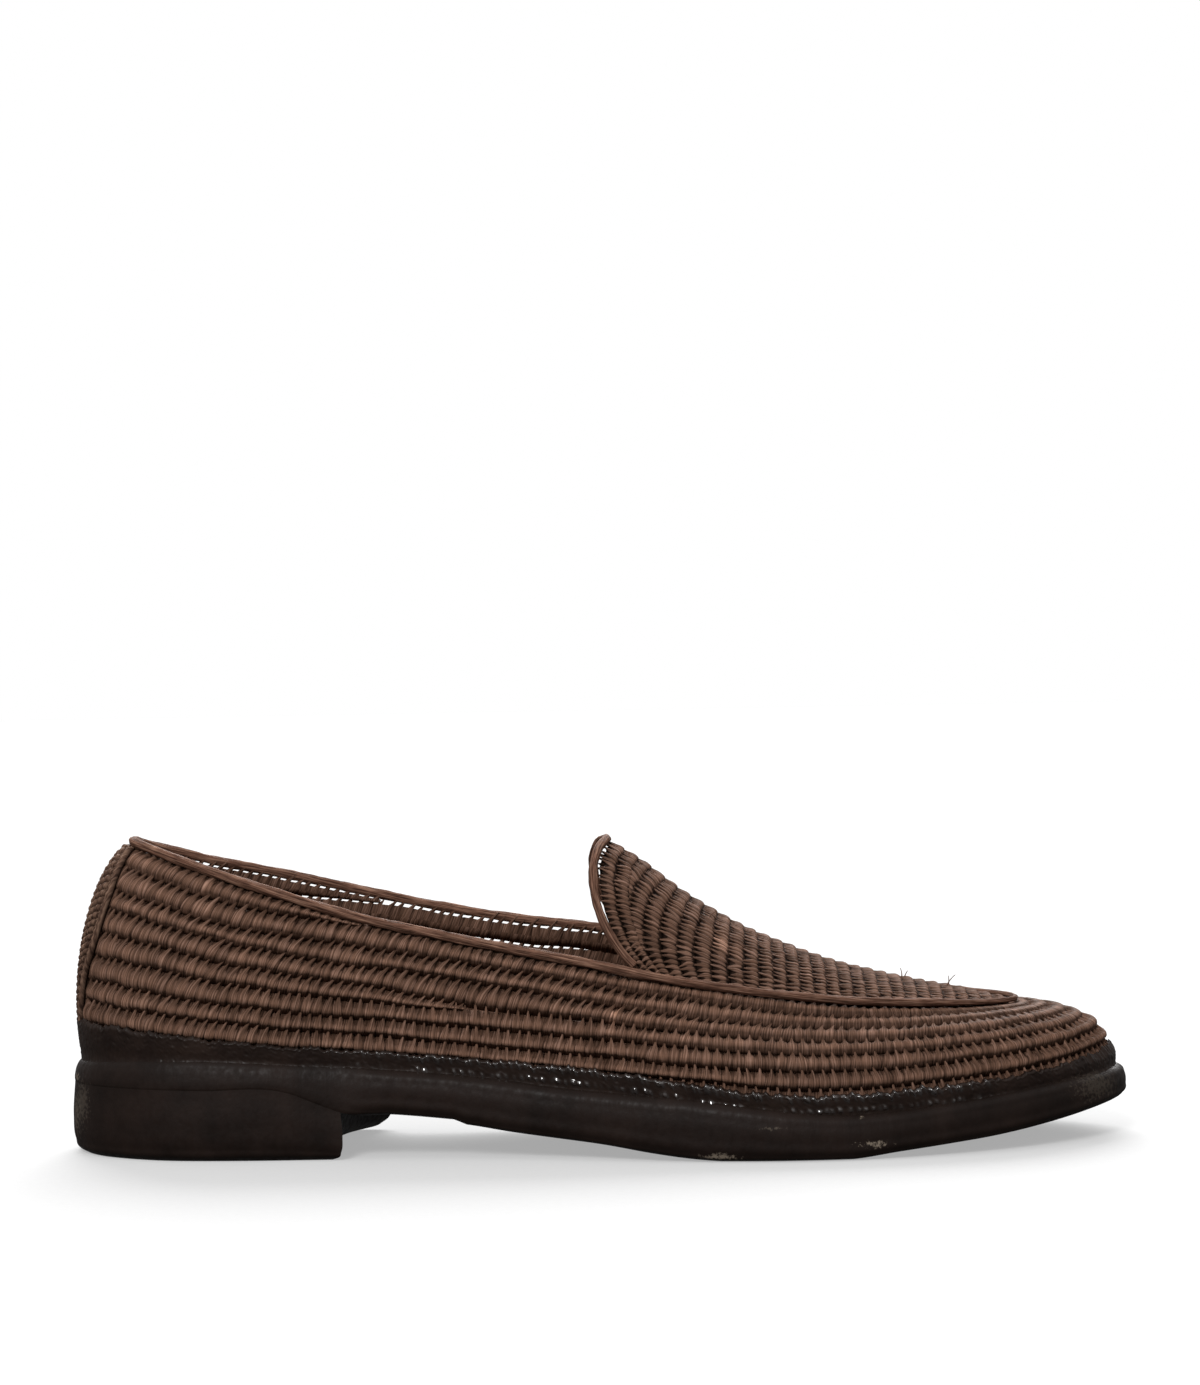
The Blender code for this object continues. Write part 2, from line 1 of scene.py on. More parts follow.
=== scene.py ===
"""Looks of a woven raffia loafer, right shoe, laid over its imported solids.

Lengths are millimetres from the back of the heel (x), across the shoe (y, inner side positive)
and above the ground (z), as in the part. They become metres in the frame in `to_world`.
"""
import math

import bmesh
import bpy
import numpy as np
from mathutils import Matrix, Vector


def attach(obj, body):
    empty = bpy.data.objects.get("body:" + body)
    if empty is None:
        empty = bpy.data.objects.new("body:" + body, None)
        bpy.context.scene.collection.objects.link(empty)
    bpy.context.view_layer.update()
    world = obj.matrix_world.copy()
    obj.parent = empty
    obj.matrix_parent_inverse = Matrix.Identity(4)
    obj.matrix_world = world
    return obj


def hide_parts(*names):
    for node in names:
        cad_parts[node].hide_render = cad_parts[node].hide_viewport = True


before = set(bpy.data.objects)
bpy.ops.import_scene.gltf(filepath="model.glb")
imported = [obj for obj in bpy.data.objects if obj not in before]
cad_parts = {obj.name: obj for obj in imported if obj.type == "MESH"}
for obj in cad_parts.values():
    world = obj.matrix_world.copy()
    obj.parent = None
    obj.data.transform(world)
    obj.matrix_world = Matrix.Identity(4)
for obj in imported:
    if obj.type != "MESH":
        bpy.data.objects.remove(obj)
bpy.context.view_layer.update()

# Photograph's camera: size of the image, focal length in its pixels, place, dip and roll
PHOTO_SIZE = (1200, 1385)
FOCAL_PIXELS = 4014.2
SENSOR = 36.0
CAMERA_PLACE = (0.00184, -1.1, 0.15038)
CAMERA_DIP = 1.411
CAMERA_ROLL = 1.0

# Studio: glow of the dome at the ground, the horizon and overhead, and of the table
WHITE = (1.0, 1.0, 1.0, 1.0)
GROUND_GLOW, HORIZON_GLOW, TOP_GLOW, TABLE_GLOW = 0.09, 0.26, 0.68, 0.38
# Lights: name, where they come from, spread in degrees, power
LIGHTS = (("rear_light", (0.0, 0.80, 0.60), 46.0, 3.7),
          ("front_light", (-0.25, -0.78, 0.57), 18.0, 1.6))

# Shoe
MM = 0.001
LENGTH = 290.0
BOX_CENTRE_X = LENGTH / 2
GAP = 0.3
SMALL_STEP = 1e-3
TURN = 2 * math.pi

# Sole and heel
SOLE_EDGE_INSET = 2.7
HEEL_SEAT = (75.0, 88.0)
HEEL_SEAT_GAP = 0.02
BREAST_HOLLOW = 7.0
BREAST_ROUNDING = 0.9
# Points this near are one, and edges sharper than this, in degrees, stay edges
RUBBER_CUT = {"merge": 0.005, "sharp": 55.0}
LEATHER_CUT = {"merge": 0.005, "sharp": 50.0}

# Upper
WALL = 1.6
FEATHER_INSET = 4.2
INSOLE_THICKNESS = 2.0
INSOLE_INSET = FEATHER_INSET + WALL + 0.6
INSOLE_CUP = 0.5

# Piping: radius, seat, ends of the edge cord, reach of the throat cord across the apron
CORD_RADIUS = 1.3
CORD_SEAT = CORD_RADIUS + GAP
EDGE_START, EDGE_END = 17.8, 259.8
THROAT_CORD_REACH = 0.955
# Cord: step along it, corners round it, its strands with painted shade in the grooves between them, and
# its unevenness
CORD_STEP, CORD_CORNERS = 0.4, 20
STRAND_DEPTH, STRAND_TWIST, STRAND_SHADE = 0.14, 6.5, 2.6
CORD_SWELL, CORD_LUMP, CORD_DYE = 0.05, 0.03, 0.10
# Painted shade on the cord's underside; how far the cord settles where it thins
CORD_UNDERSIDE_SHADE, CORD_SETTLE = 0.25, 1.3
# Soft steps along the shoe, here and below: value at the heel, then (from, to, change)
CORD_GIRTH = (1, (140, 190, -0.15), (225, 257, -0.3))
CORD_TONE = (0.94, (140, 190, -0.12))

# Apron
APRON_ROWS = 30
APRON_ROW_PITCH = 3.575
APRON_FIRST_ROW = 152.1
APRON_TOE = EDGE_END - 1
APRON_RIM = 0.999
THROAT_CREST_X = 148.1
THROAT_FADE = 42
THROAT_ROWS = 2
ARCH_POWER_THROAT, ARCH_POWER_TOE = 2.1, 2.4
# Cross rows lean back to the seams, and straighten out ahead
APRON_ROW_LEAN, APRON_STRAIGHT = 10, (156, 196)
# Apron's wraps: pitch, gaps of even and odd rows and their largest share of a row, teeth
APRON_WRAP_PITCH = 1.6
APRON_GAPS, APRON_GAP_SHARE = (1.9, 1.7), 0.5
APRON_LEAN, APRON_RAKE, APRON_SHARP = -0.3, -0.2, 0.75
# Apron's rows: wander of their place and lean, and how they sink at the seam
APRON_WANDER, APRON_LEAN_WANDER = 0.25, 0.12
SEAM_PROUD, SEAM_RISE = 0.35, 0.03
# Gap under the throat cord: how far shut, what is opened of it, and where across the apron
THROAT_SHUT, THROAT_OPENED = 1.4, 0.62
THROAT_OPEN = ((0.10, 0.2), (0.48, 0.58))

# Charts of wall and apron: columns, levels, samples
WALL_COLUMNS, WALL_LEVELS, WALL_SAMPLES = 960, 81, 161
APRON_COLUMNS, APRON_LEVELS, APRON_SAMPLES = 241, 201, 161

# Weave of the sides: wrap along a row, and how far its tooth tucks under the next row
WRAP_PITCH, TOOTH_TUCK = 2.85, 0.7
SHORTEST_ROW, TOP_ROW_LIFT = 0.9, 0.3
UPPER_ROWS, LOW_ROWS = 4, 3
# Row at the rubber: its height, and how far it stands out at the forefoot or sinks behind it
BURIED_ROW, TEETH_OVER_RUBBER, SUNK_IN_RUBBER = 4, 0.8, 1.2
FOREFOOT = (140, 185)
# How proud rows stand, from the lowest, and at an end sunk between its neighbours
ROW_PROUD, SUNK_END, RUN_OUT_COLUMNS = (0.1, 0.5, 1), 0.1, 25
# Rows start under the back strip and rise at its edge, as angles round the wall
STRIP_OVERLAP, STRIP_RISE = 0.04, (-0.01, 0.035)
# Light through the inner side: where, and how open the gaps are, from the top one
OPEN_PART = ((30, 60), (135, 160))
OPEN_SHARE = (0.33, 0.33, 0.33, 0.33, 0.25, 0)
# Gap under the outer side's cord: how far shut, and from which share of the wall
CORD_SHUT, BY_CORD = 1.4, (0.96, 0.99)
# Tallest gap as a share of the row, and sharpness of the teeth in upper and lower rows
GAP_SHARE = (0.46, (150, 200, 0.08))
UPPER_TEETH = (0.4, (110, 160, 0.25), (160, 210, 0.25))
LOWER_TEETH = (0.6, (70, 120, 0.4))
# How flat rows lie, and the lowest ones
FLAT = (0, (150, 220, 0.45), (235, 275, 0.25))
LOW_FLAT = (0, (150, 220, 0.45), (235, 275, -0.25))
# Lower rows turn upright, and lose so much of their lean
UPRIGHT, UPRIGHT_LEAN = (35, 75), 0.7
# Lines between rows: smoothing in columns, waver, waves round the shoe
LINE_SMOOTHING, LINE_WAVER, LINE_WAVES = 12, 0.22, 14

# Wraps: uneven girth, lean, tooth and dye
WRAP_SPREAD = (0.05, 0.07, 0.12, 0.07)
SLOW_SWELL, SWELL_WAVE = 0.05, 31
SEAM_PINCH, SHUT_OVERLAP = 0.12, 0.15
# What sharp teeth take from the seam's depth, the wrap's lump and the seam's darkness
SHARP_SEAM, SHARP_LUMP, SHARP_DARK = 0.7, 0.6, 0.4
# Tooth's tip on the section: where it is full, how steeply it starts; painted shade on broad tabs in
# the gaps and painted light on pointed spikes, darker flat rows
TIP_FULL, TIP_POWER, TAB_SHADE, FLAT_DARK = 0.97, 12, 0.3, 0.3
# Fibres shift from row to row and wrap to wrap, so that none repeat
ROW_SHIFT, WRAP_SHIFT = 3.7, 1.9
# Paler wraps on the outer side: distance from the heel and height, half size, tone
PALE_WRAPS = ((149.1, 38.6), (179.5, 54.5))
PALE_WRAP, PALE_TONE = (0.7, 1.7), 2.1

# Seeds of the uneven hand work
SIDE_SEEDS = {"outer": 100, "inner": 150}
LINE_SEED, APRON_SEED, APRON_PLACE_SEED, APRON_LEAN_SEED = 40, 200, 300, 400
CORD_SEEDS, RAND_SEED = (500, 510), 600

# Back strip: stitch and column of stitches, rib at the edge, line of holes, first column
STRIP_STITCH, STRIP_COLUMN, STRIP_RIB, STRIP_HOLES, STRIP_FIRST_COLUMN = 2.1, 2.6, 1.8, 2.25, 2.7
STRIP_HEIGHT, STRIP_BAR, STRIP_FOOT = 1.2, 0.7, 0.03
# Stitch: how steeply it falls off across and up, its slant; rib: its height and wave
STITCH_FALL, STITCH_SLANT, RIB_WAVE = (3.2, 3.6), 0.25, (0.92, 0.10)
# Holes: half size along their line, depth, half width of the line
HOLE_SIZE, HOLE_DEPTH, HOLE_LINE = 0.27, 1.4, 0.5
# Strip's ends: share of its way over which they rise, height there; ground between stitches; tones,
# with painted shade in the hollows and holes that lifts with the relief, and of the back
STRIP_END, STRIP_END_HEIGHT, STRIP_GROUND = 0.02, 0.2, 0.1
STRIP_HOLLOW_SHADE, STRIP_RELIEF_SHADE, STRIP_BACK_TONE = 0.35, 0.75, 0.5

# Dipped rand: columns round it, its lumps and their two lines below the top edge
RAND_COLUMNS = 2600
LUMP_PITCH, LUMP_SLANT = 2, 0.35
LUMP_LINE, LOWER_LUMP_LINE = (0.7, 0.65), (2.9, 0.55)
LUMP_HEIGHT, LUMP_GLEAM = 0.6, 2.2
LUMPS_SHOW = ((60, 110), (228, 262))
RAND_DROP = GAP + 0.6
# Lip at the toe: what it loses, at which share of the height, and where
LIP_TAPER, LIP, LIP_TOE = 0.6, (0.6, 1), (262, 284)
# Lumps by chance: how tall, spread of their place, smallest size, range and power, how broad
LUMP_TALL, LUMP_SPREAD, LUMP_SIZE, LUMP_BROAD = (0.4, 1), 0.2, (0.2, 1.4, 1.3), (0.18, 0.40)
# Lower lumps: how far tall ones hang down, share of the size
LOWER_HANG, LOWER_SHARE = 0.5, 0.8
# Ragged top edge: height and half width of its points, waver and length of the waver
RAGGED, RAGGED_WIDTH, RAGGED_WAVER, RAGGED_WAVE = 0.7, 0.25, 0.4, 11
# Skin: swell and its length, depth of its sags, and the slant and length of two that meet in them
SKIN_SWELL, SKIN_WAVE, SKIN_SAG, SAGS = 0.05, 23, 0.09, ((0.9, 6.5), (-1.3, 4.7))

# Loose ends of raffia on the apron: distance from the heel, place across, length, lean forwards
LOOSE_ENDS = ((228.5, -0.05, 3, -0.5), (229.5, 0.10, 2.2, 0.4), (240.8, -0.10, 3.5, 0.9),
              (241.5, 0.02, 3.2, -0.3), (176, -0.35, 2.4, 0.8))
LOOSE_RADIUS, LOOSE_FLATNESS, LOOSE_TONE = 0.20, 0.45, 1.25

# Pale scuffs on the rubber, and the broad faint patches at (3.5, -10, 14) over the heel's back and at
# (280, -16, 15) over the toe that are painted sheen: place, half size each way, strength
SCUFFS_AND_SHEEN = (
    ((176.5, -46.5, 1.7), (8, 4, 1.7), 1),
    ((216.5, -46, 4.3), (7, 4, 1.9), 1),
    ((214, -46.6, 11.6), (1.6, 2, 1), 0.8),
    ((190, -48, 9), (6, 2, 0.8), 0.3),
    ((3.5, -10, 14), (5, 14, 11), 0.2),
    ((2.6, -4, 20.8), (2.5, 5, 1.7), 0.9),
    ((2.5, -5, 11), (3.5, 8, 10), 0.35),
    ((280, -16, 15), (16, 16, 7), 0.16),
)

# Sole edge in plan: distance from the heel, outer side, inner side
OUTLINE = np.array([
    (0, 3, 3), (12, -19, 25), (28, -27.5, 33.5), (50, -30.5, 36), (80, -31, 34), (105, -33, 31.5),
    (130, -37, 31.5), (160, -44.5, 40), (190, -48.8, 47.5), (215, -47.4, 48.8), (245, -39.4, 44.8),
    (265, -29, 38), (278, -18, 29.4), (286.5, -6.8, 18.6), (290, 5.8, 5.8),
])

# Sole heights: distance from the heel, underside, top (the feather line)
SOLE = np.array([
    (0, 19.4, 25), (20, 19.4, 26.8), (38, 19.2, 27), (62, 18.2, 25.7), (70, 15, 25.3),
    (77, 12.5, 24.9), (90, 11.8, 24), (103.5, 10.6, 23), (105.5, 10.4, 22.8), (108.5, 9.1, 22.5),
    (110.5, 8.8, 22.3), (120, 7.2, 21.2), (132, 5.6, 19.6), (145, 4, 18.4), (158, 1.9, 17.4),
    (168, 0.6, 16.6), (176, 0, 15.7), (198, 0, 12.8), (212, 0, 12), (224, 1.4, 12.6),
    (238, 2.8, 13.9), (252, 4.2, 15.3), (270, 6.8, 17.2), (290, 10.2, 18.9),
])

# Sole edge: share of the height, offset outwards over the heel, offset outwards ahead of it
SOLE_EDGE = np.array([
    (0.00, -0.62, -4), (0.03, -0.55, -2.2), (0.13, -0.5, -0.6), (0.40, -0.7, 0), (0.72, -1.3, -0.3),
    (0.92, -2.1, -1.3), (1.00, -SOLE_EDGE_INSET, -SOLE_EDGE_INSET),
])
# Heel block: share of the height, offset outwards, breast on the outer side, on the inner side
HEEL_EDGE = np.array([
    (0.00, -3.4, 76, 79.5), (0.05, -1.6, 76, 81.5), (0.18, -0.5, 76, 84), (0.50, 0, 76, 86),
    (1.00, -0.6, 76, 86.5),
])

# Rand: distance from the heel, height of its top edge
RAND_TOP = np.array([
    (0, 36.4), (15, 35.2), (38, 32.8), (60, 30.6), (92, 28.4), (115, 26.5), (135, 24.8),
    (156, 22.4), (171, 20.2), (187, 18), (198, 17.2), (214, 17.2), (235, 18.2), (264, 20.2),
    (276, 21.8), (290, 24.2),
])
# Rand section from its foot up: share of its height, distance from the wall
RAND_FACE = np.array([
    (0.00, 2.05), (0.07, 1.80), (0.15, 1.60), (0.45, 1.56), (0.80, 1.50), (0.93, 1.42),
    (1.00, 0.90),
])

# Centre of the edge piping: x, then y and z on the outer side, y and z on the inner side,
# and the lean of its seat from upright, outwards, in degrees
EDGE = np.array([
    (17.8, 3, 84.6, 3, 84.6, -32), (26.4, -9.5, 82, 15.5, 81.2, -26),
    (37.8, -15, 78, 21, 77.8, -20), (60, -21.5, 70.9, 28.5, 72.5, -14),
    (81.4, -25, 64.5, 31, 67.3, -10), (102.9, -28, 59.8, 32, 62.5, -8),
    (124.3, -30, 55.4, 32.5, 58.8, -4), (145.6, -31, 51.1, 33, 56, 6),
    (158, -31, 48.3, 33, 53.4, 52), (172.2, -30, 45.8, 32.5, 49.6, 54),
    (193.6, -28, 42.5, 31, 44.8, 46), (215.2, -25, 40.1, 29, 41.6, 36),
    (237.2, -18.8, 38.9, 25, 39.2, 24), (252.6, -8.8, 38.3, 16.4, 38.4, 15),
    (259.8, 4, 38.1, 4, 38.1, 8),
])

# Upper side wall: distance from the heel, flare at the feather line and lean in at the top in
# degrees, and how far each of the two slopes carries, as shares of the wall's height
WALL_SHAPE = np.array([
    (0, 12, 55, 0.36, 0.22), (20, 8, 36, 0.42, 0.32), (60, 6, 16, 0.42, 0.42),
    (100, 7, 12, 0.42, 0.42), (140, 9, 18, 0.42, 0.42), (170, 13, 30, 0.42, 0.42),
    (200, 14, 44, 0.42, 0.42), (230, 12, 60, 0.40, 0.44), (260, 8, 78, 0.38, 0.50),
    (290, 5, 92, 0.36, 0.56),
])

# Gaps between the woven rows, as shares of the way from rand to top edge: distance, then each gap.
# The third row runs out where two gaps meet, and the eighth under the piping.
ROW_GAPS = np.array([
    (0, 0.10, 0.22, 0.36, 0.49, 0.62, 0.73, 0.87), (38, 0.10, 0.22, 0.36, 0.49, 0.62, 0.73, 0.87),
    (85, 0.11, 0.24, 0.38, 0.51, 0.66, 0.82, 1.00), (117, 0.10, 0.26, 0.43, 0.43, 0.67, 0.83, 1.00),
    (146, 0.10, 0.29, 0.49, 0.49, 0.67, 0.84, 1.00),
    (198, 0.19, 0.37, 0.53, 0.53, 0.70, 0.87, 1.00),
    (252, 0.18, 0.35, 0.52, 0.52, 0.69, 0.85, 1.00),
    (290, 0.17, 0.34, 0.51, 0.51, 0.68, 0.84, 1.00),
])
RUN_OUT_ROW = 3
# Lean of the wraps on the sides: distance from the heel, run forwards for each millimetre up,
# and what their teeth lean more
WRAP_LEAN = np.array([
    (0, 0.05, 0.3), (60, 0.22, 0.5), (120, 0.20, 0.45), (200, 0.12, 0.25), (290, 0.05, 0.1),
])

# Apron crest: distance from the heel, height, sideways place
CREST = np.array([
    (142, 86.4, 2), (146.4, 84, 2), (156, 78, 2.2), (169, 68.2, 2.5), (182, 60, 2.8),
    (195, 53.9, 3), (208, 48.9, 3.2), (221, 45.2, 3.5), (234, 42.2, 3.7), (248, 39.4, 3.9),
    (254, 37.9, 4), (259.8, 36.5, 4),
])
# Throat edge: share of the half width from the crest, distance behind or ahead of the crest's edge
THROAT = np.array([
    (0, 0), (0.18, -0.9), (0.38, -2.9), (0.6, -4), (0.76, -2.4), (0.86, 0.8), (0.94, 5.5), (1, 11),
])

# Open gap over a row: distance from the heel, height
ROW_OPENING = np.array([
    (0, 1.9), (80, 2.1), (130, 2.3), (190, 2.3), (230, 2.5), (290, 2.4),
])
# Back strip: share of its way up, half its width as an angle round the wall
STRIP_EDGE = np.array([
    (0, 0.135), (0.24, 0.18), (0.42, 0.222), (0.58, 0.233), (0.72, 0.228), (0.86, 0.203), (1, 0.17),
])

# Section of a woven row: degrees round it from its top over the outside, and a painted tone: painted
# highlight along the middle of the outside, darker towards its top and bottom
ROW_SECTION_AND_SHADE = np.array([
    (270, 1.00), (318, 0.95), (350, 0.90), (12, 0.85), (32, 0.92), (60, 1.28), (90, 1.62),
    (120, 1.34), (150, 0.92), (180, 0.85), (225, 0.92),
])
# Section of an apron row, the same way: painted highlight along the middle of the outside, and painted
# shade on the back points that fill the holes between rows
APRON_SECTION_AND_SHADE = np.array([
    (270, 0.50), (315, 0.14), (0, 0.24), (32, 0.80), (62, 1.10), (92, 1.14), (122, 1.06),
    (150, 0.85), (170, 0.58), (190, 0.34), (222, 0.12),
])
# Tooth of a wrap: share of the pitch from its middle, height of a broad tab, height of a spike
TOOTH_SHAPE = np.array([
    (0.05, 1, 1), (0.15, 0.85, 0.35), (0.27, 0.12, 0.08), (0.40, 0, 0.02), (0.50, 0, 0),
])


def smooth(knots, values, query):
    """Cubic curve through a table's values."""
    slope = np.gradient(values, knots)
    i = np.clip(np.searchsorted(knots, query, side="right") - 1, 0, len(knots) - 2)
    span = knots[i + 1] - knots[i]
    t = np.clip((query - knots[i]) / span, 0.0, 1.0)
    rise = values[i + 1] - values[i]
    bend = (1 - t) * (slope[i] * span - rise) - t * (slope[i + 1] * span - rise)
    return values[i] + rise * t + t * (1 - t) * bend


def along(table, column, x):
    """A table's column at a distance from the heel."""
    return smooth(table[:, 0], table[:, column], np.asarray(x, dtype=float))


def around(table, outer, inner, phi):
    """A table's two side columns as one closed curve: 0 at the heel, pi at the toe."""
    first, last = table[0, 0], table[-1, 0]
    knots = np.arccos(1 - 2 * (table[:, 0] - first) / (last - first))
    knots = np.concatenate([knots, TURN - knots[-2:0:-1]])
    values = np.concatenate([table[:, outer], table[-2:0:-1, inner]])
    knots = np.concatenate([knots - TURN, knots, knots + TURN])
    return smooth(knots, np.tile(values, 3), np.mod(phi, TURN))


def stretch(phi, first=0.0, last=LENGTH):
    """Distance from the heel of a point on a closed curve."""
    return first + (last - first) * (1 - np.cos(phi)) / 2


def ease(low, high, value):
    """Soft step from 0 to 1 between two limits."""
    t = np.clip((value - low) / (high - low), 0.0, 1.0)
    return t * t * (3 - 2 * t)


def grade(x, start, *steps):
    """A value that changes by soft steps along the shoe: from, to, change."""
    for low, high, change in steps:
        start = start + change * ease(low, high, x)
    return start


def between(value, rise, fall):
    """Soft window, 1 between a rise and a fall."""
    return ease(*rise, value) * (1 - ease(*fall, value))


def hump(value, width):
    """Soft bell, 1 in the middle."""
    return np.exp(-(value / width) ** 2)


def two_paces(turn, first, second):
    """Shares from 0 to 1, stepped otherwise below and above a turn."""
    return np.concatenate([np.linspace(0.0, turn, first)[:-1], np.linspace(turn, 1.0, second)])


def wander(distance, wavelength, seed):
    """Slow unevenness of hand work, about -1 to 1, along a distance."""
    phases = np.random.default_rng(seed).uniform(0.0, TURN, 4)
    return sum(np.sin(TURN * distance / wavelength * pace + phase) / 2.2
               for pace, phase in zip((0.61, 1.0, 1.73, 2.9), phases))


def unit(vectors):
    """Directions of length 1."""
    return vectors / np.linalg.norm(vectors, axis=-1, keepdims=True)


def lengths(points):
    """Distance run along a line of points."""
    return np.concatenate([[0.0], np.cumsum(np.linalg.norm(np.diff(points, axis=0), axis=1))])


def outward(curve, phi):
    """Outward direction in plan of a closed curve."""
    tangent = unit((curve(phi + SMALL_STEP) - curve(phi - SMALL_STEP))[..., :2])
    return np.stack([tangent[..., 1], -tangent[..., 0]], axis=-1)


def facing(form, u, v, low=0.0, high=1.0):
    """Outward direction of a form whose second measure runs between two limits."""
    ahead = form(u + SMALL_STEP, v) - form(u - SMALL_STEP, v)
    up = form(u, np.minimum(v + SMALL_STEP, high)) - form(u, np.maximum(v - SMALL_STEP, low))
    return unit(np.cross(ahead, up))


def outline(phi, offset):
    """Point on the sole edge in plan, moved outwards by an offset, and its outward direction."""

    def edge(angle):
        return np.stack([stretch(angle), around(OUTLINE, 1, 2, angle)], axis=-1)

    outwards = outward(edge, phi)
    return edge(phi) + np.asarray(offset)[..., None] * outwards, outwards


def join(plan, z):
    """Points in plan with their heights."""
    return np.concatenate([plan, np.broadcast_to(z, plan.shape[:-1])[..., None]], axis=-1)


def on_sole(plan, lift):
    """Points in plan set above the top of the sole."""
    return join(plan, along(SOLE, 2, plan[..., 0]) + lift)


def cord_line(phi):
    """Centre of the edge piping."""
    return np.stack([stretch(phi, EDGE_START, EDGE_END), around(EDGE, 1, 3, phi),
                     around(EDGE, 2, 4, phi)], axis=-1)


def top_edge(phi):
    """Top edge of the side wall, where the piping is seated."""
    outwards = outward(cord_line, phi)
    lean = np.radians(around(EDGE, 5, 5, phi))
    seat = join(outwards * np.sin(lean)[..., None], np.cos(lean))
    return cord_line(phi) - CORD_SEAT * seat, outwards


def wall(phi, share):
    """Outside of the side wall without its rows, from the feather line (0) to the top edge (1)."""
    phi, share = np.broadcast_arrays(np.asarray(phi, dtype=float), np.asarray(share, dtype=float))
    foot, outwards = outline(phi, -FEATHER_INSET)
    x = stretch(phi)
    foot = on_sole(foot, GAP)
    top, top_outwards = top_edge(phi)
    flare = np.radians(along(WALL_SHAPE, 1, x))
    lean = np.radians(along(WALL_SHAPE, 2, x))
    rise = np.linalg.norm(top - foot, axis=-1)[..., None]
    leave = join(outwards * np.sin(flare)[..., None], np.cos(flare))
    arrive = join(-top_outwards * np.sin(lean)[..., None], np.cos(lean))
    low = foot + leave * rise * along(WALL_SHAPE, 3, x)[..., None]
    high = top - arrive * rise * along(WALL_SHAPE, 4, x)[..., None]
    t = share[..., None]
    return ((1 - t) ** 3 * foot + 3 * t * (1 - t) ** 2 * low
            + 3 * t * t * (1 - t) * high + t ** 3 * top)


def apron_base(x, across):
    """Outside of the apron without its rows; across runs from -1, outer side, to 1, inner side."""
    phi = np.arccos(np.clip(1 - 2 * (x - EDGE_START) / (EDGE_END - EDGE_START), -1.0, 1.0))
    seam, _ = top_edge(np.where(across < 0, phi, TURN - phi))
    reach = np.abs(across)
    toeward = np.clip((x - THROAT_CREST_X) / (EDGE_END - THROAT_CREST_X), 0.0, 1.0)
    power = ARCH_POWER_THROAT + (ARCH_POWER_TOE - ARCH_POWER_THROAT) * toeward
    crest_y, crest_z = along(CREST, 2, x), along(CREST, 1, x)
    y = crest_y + (seam[..., 1] - crest_y) * reach
    z = seam[..., 2] + (crest_z - seam[..., 2]) * (1 - reach ** power)
    return np.stack([x + (seam[..., 0] - x) * reach ** 4, y, z], axis=-1)


def apron(x, across):
    """Outside of the apron, its cross rows following the throat edge near the throat."""
    fade = np.clip(1 - (x - THROAT_CREST_X) / THROAT_FADE, 0.0, 1.0) ** 1.5
    both_sides = np.concatenate([THROAT[:0:-1] * (-1, 1), THROAT])
    return apron_base(x + smooth(both_sides[:, 0], both_sides[:, 1], across) * fade, across)


def to_world(points):
    """Millimetres from the heel to metres about the centre of the box."""
    return (np.asarray(points) - np.array([BOX_CENTRE_X, 0.0, 0.0])) * MM


def put(name, data):
    """A new object in the scene."""
    made = bpy.data.objects.new(name, data)
    bpy.context.scene.collection.objects.link(made)
    return made


class Sheet:
    """A curved surface as a chart of columns along it and levels up it."""

    def __init__(self, points, normals, closed):
        self.points = points
        self.normals = normals
        self.closed = closed
        ahead = np.roll(points, -1, axis=0) - points
        if not closed:
            ahead[-1] = ahead[-2]
        self.upward = np.gradient(points, axis=1)
        self.steps = np.linalg.norm(np.stack([ahead, self.upward], axis=-2), axis=-1)
        self.skew = np.sum(unit(ahead) * unit(self.upward), axis=-1, keepdims=True)

    def look(self, grid, column, level):
        """Value of a grid between its columns and levels."""
        columns, levels = grid.shape[:2]
        column = np.mod(column, columns) if self.closed else np.clip(column, 0.0, columns - 1.001)
        level = np.clip(level, 0.0, levels - 1.001)
        i = np.minimum(np.floor(column).astype(int), columns - 1)
        j = np.floor(level).astype(int)
        ahead = (i + 1) % columns
        s, t = (column - i)[..., None], (level - j)[..., None]
        low = grid[i, j] * (1 - s) + grid[ahead, j] * s
        high = grid[i, j + 1] * (1 - s) + grid[ahead, j + 1] * s
        return low * (1 - t) + high * t

    def at(self, column, level, lift):
        """Point lifted off the surface, which runs on straight past its lowest and highest levels."""
        lift = np.asarray(lift)[..., None]
        past = (level - np.clip(level, 0.0, self.points.shape[1] - 1.0))[..., None]
        return (self.look(self.points, column, level) + self.look(self.upward, column, level) * past
                + self.look(self.normals, column, level) * lift)


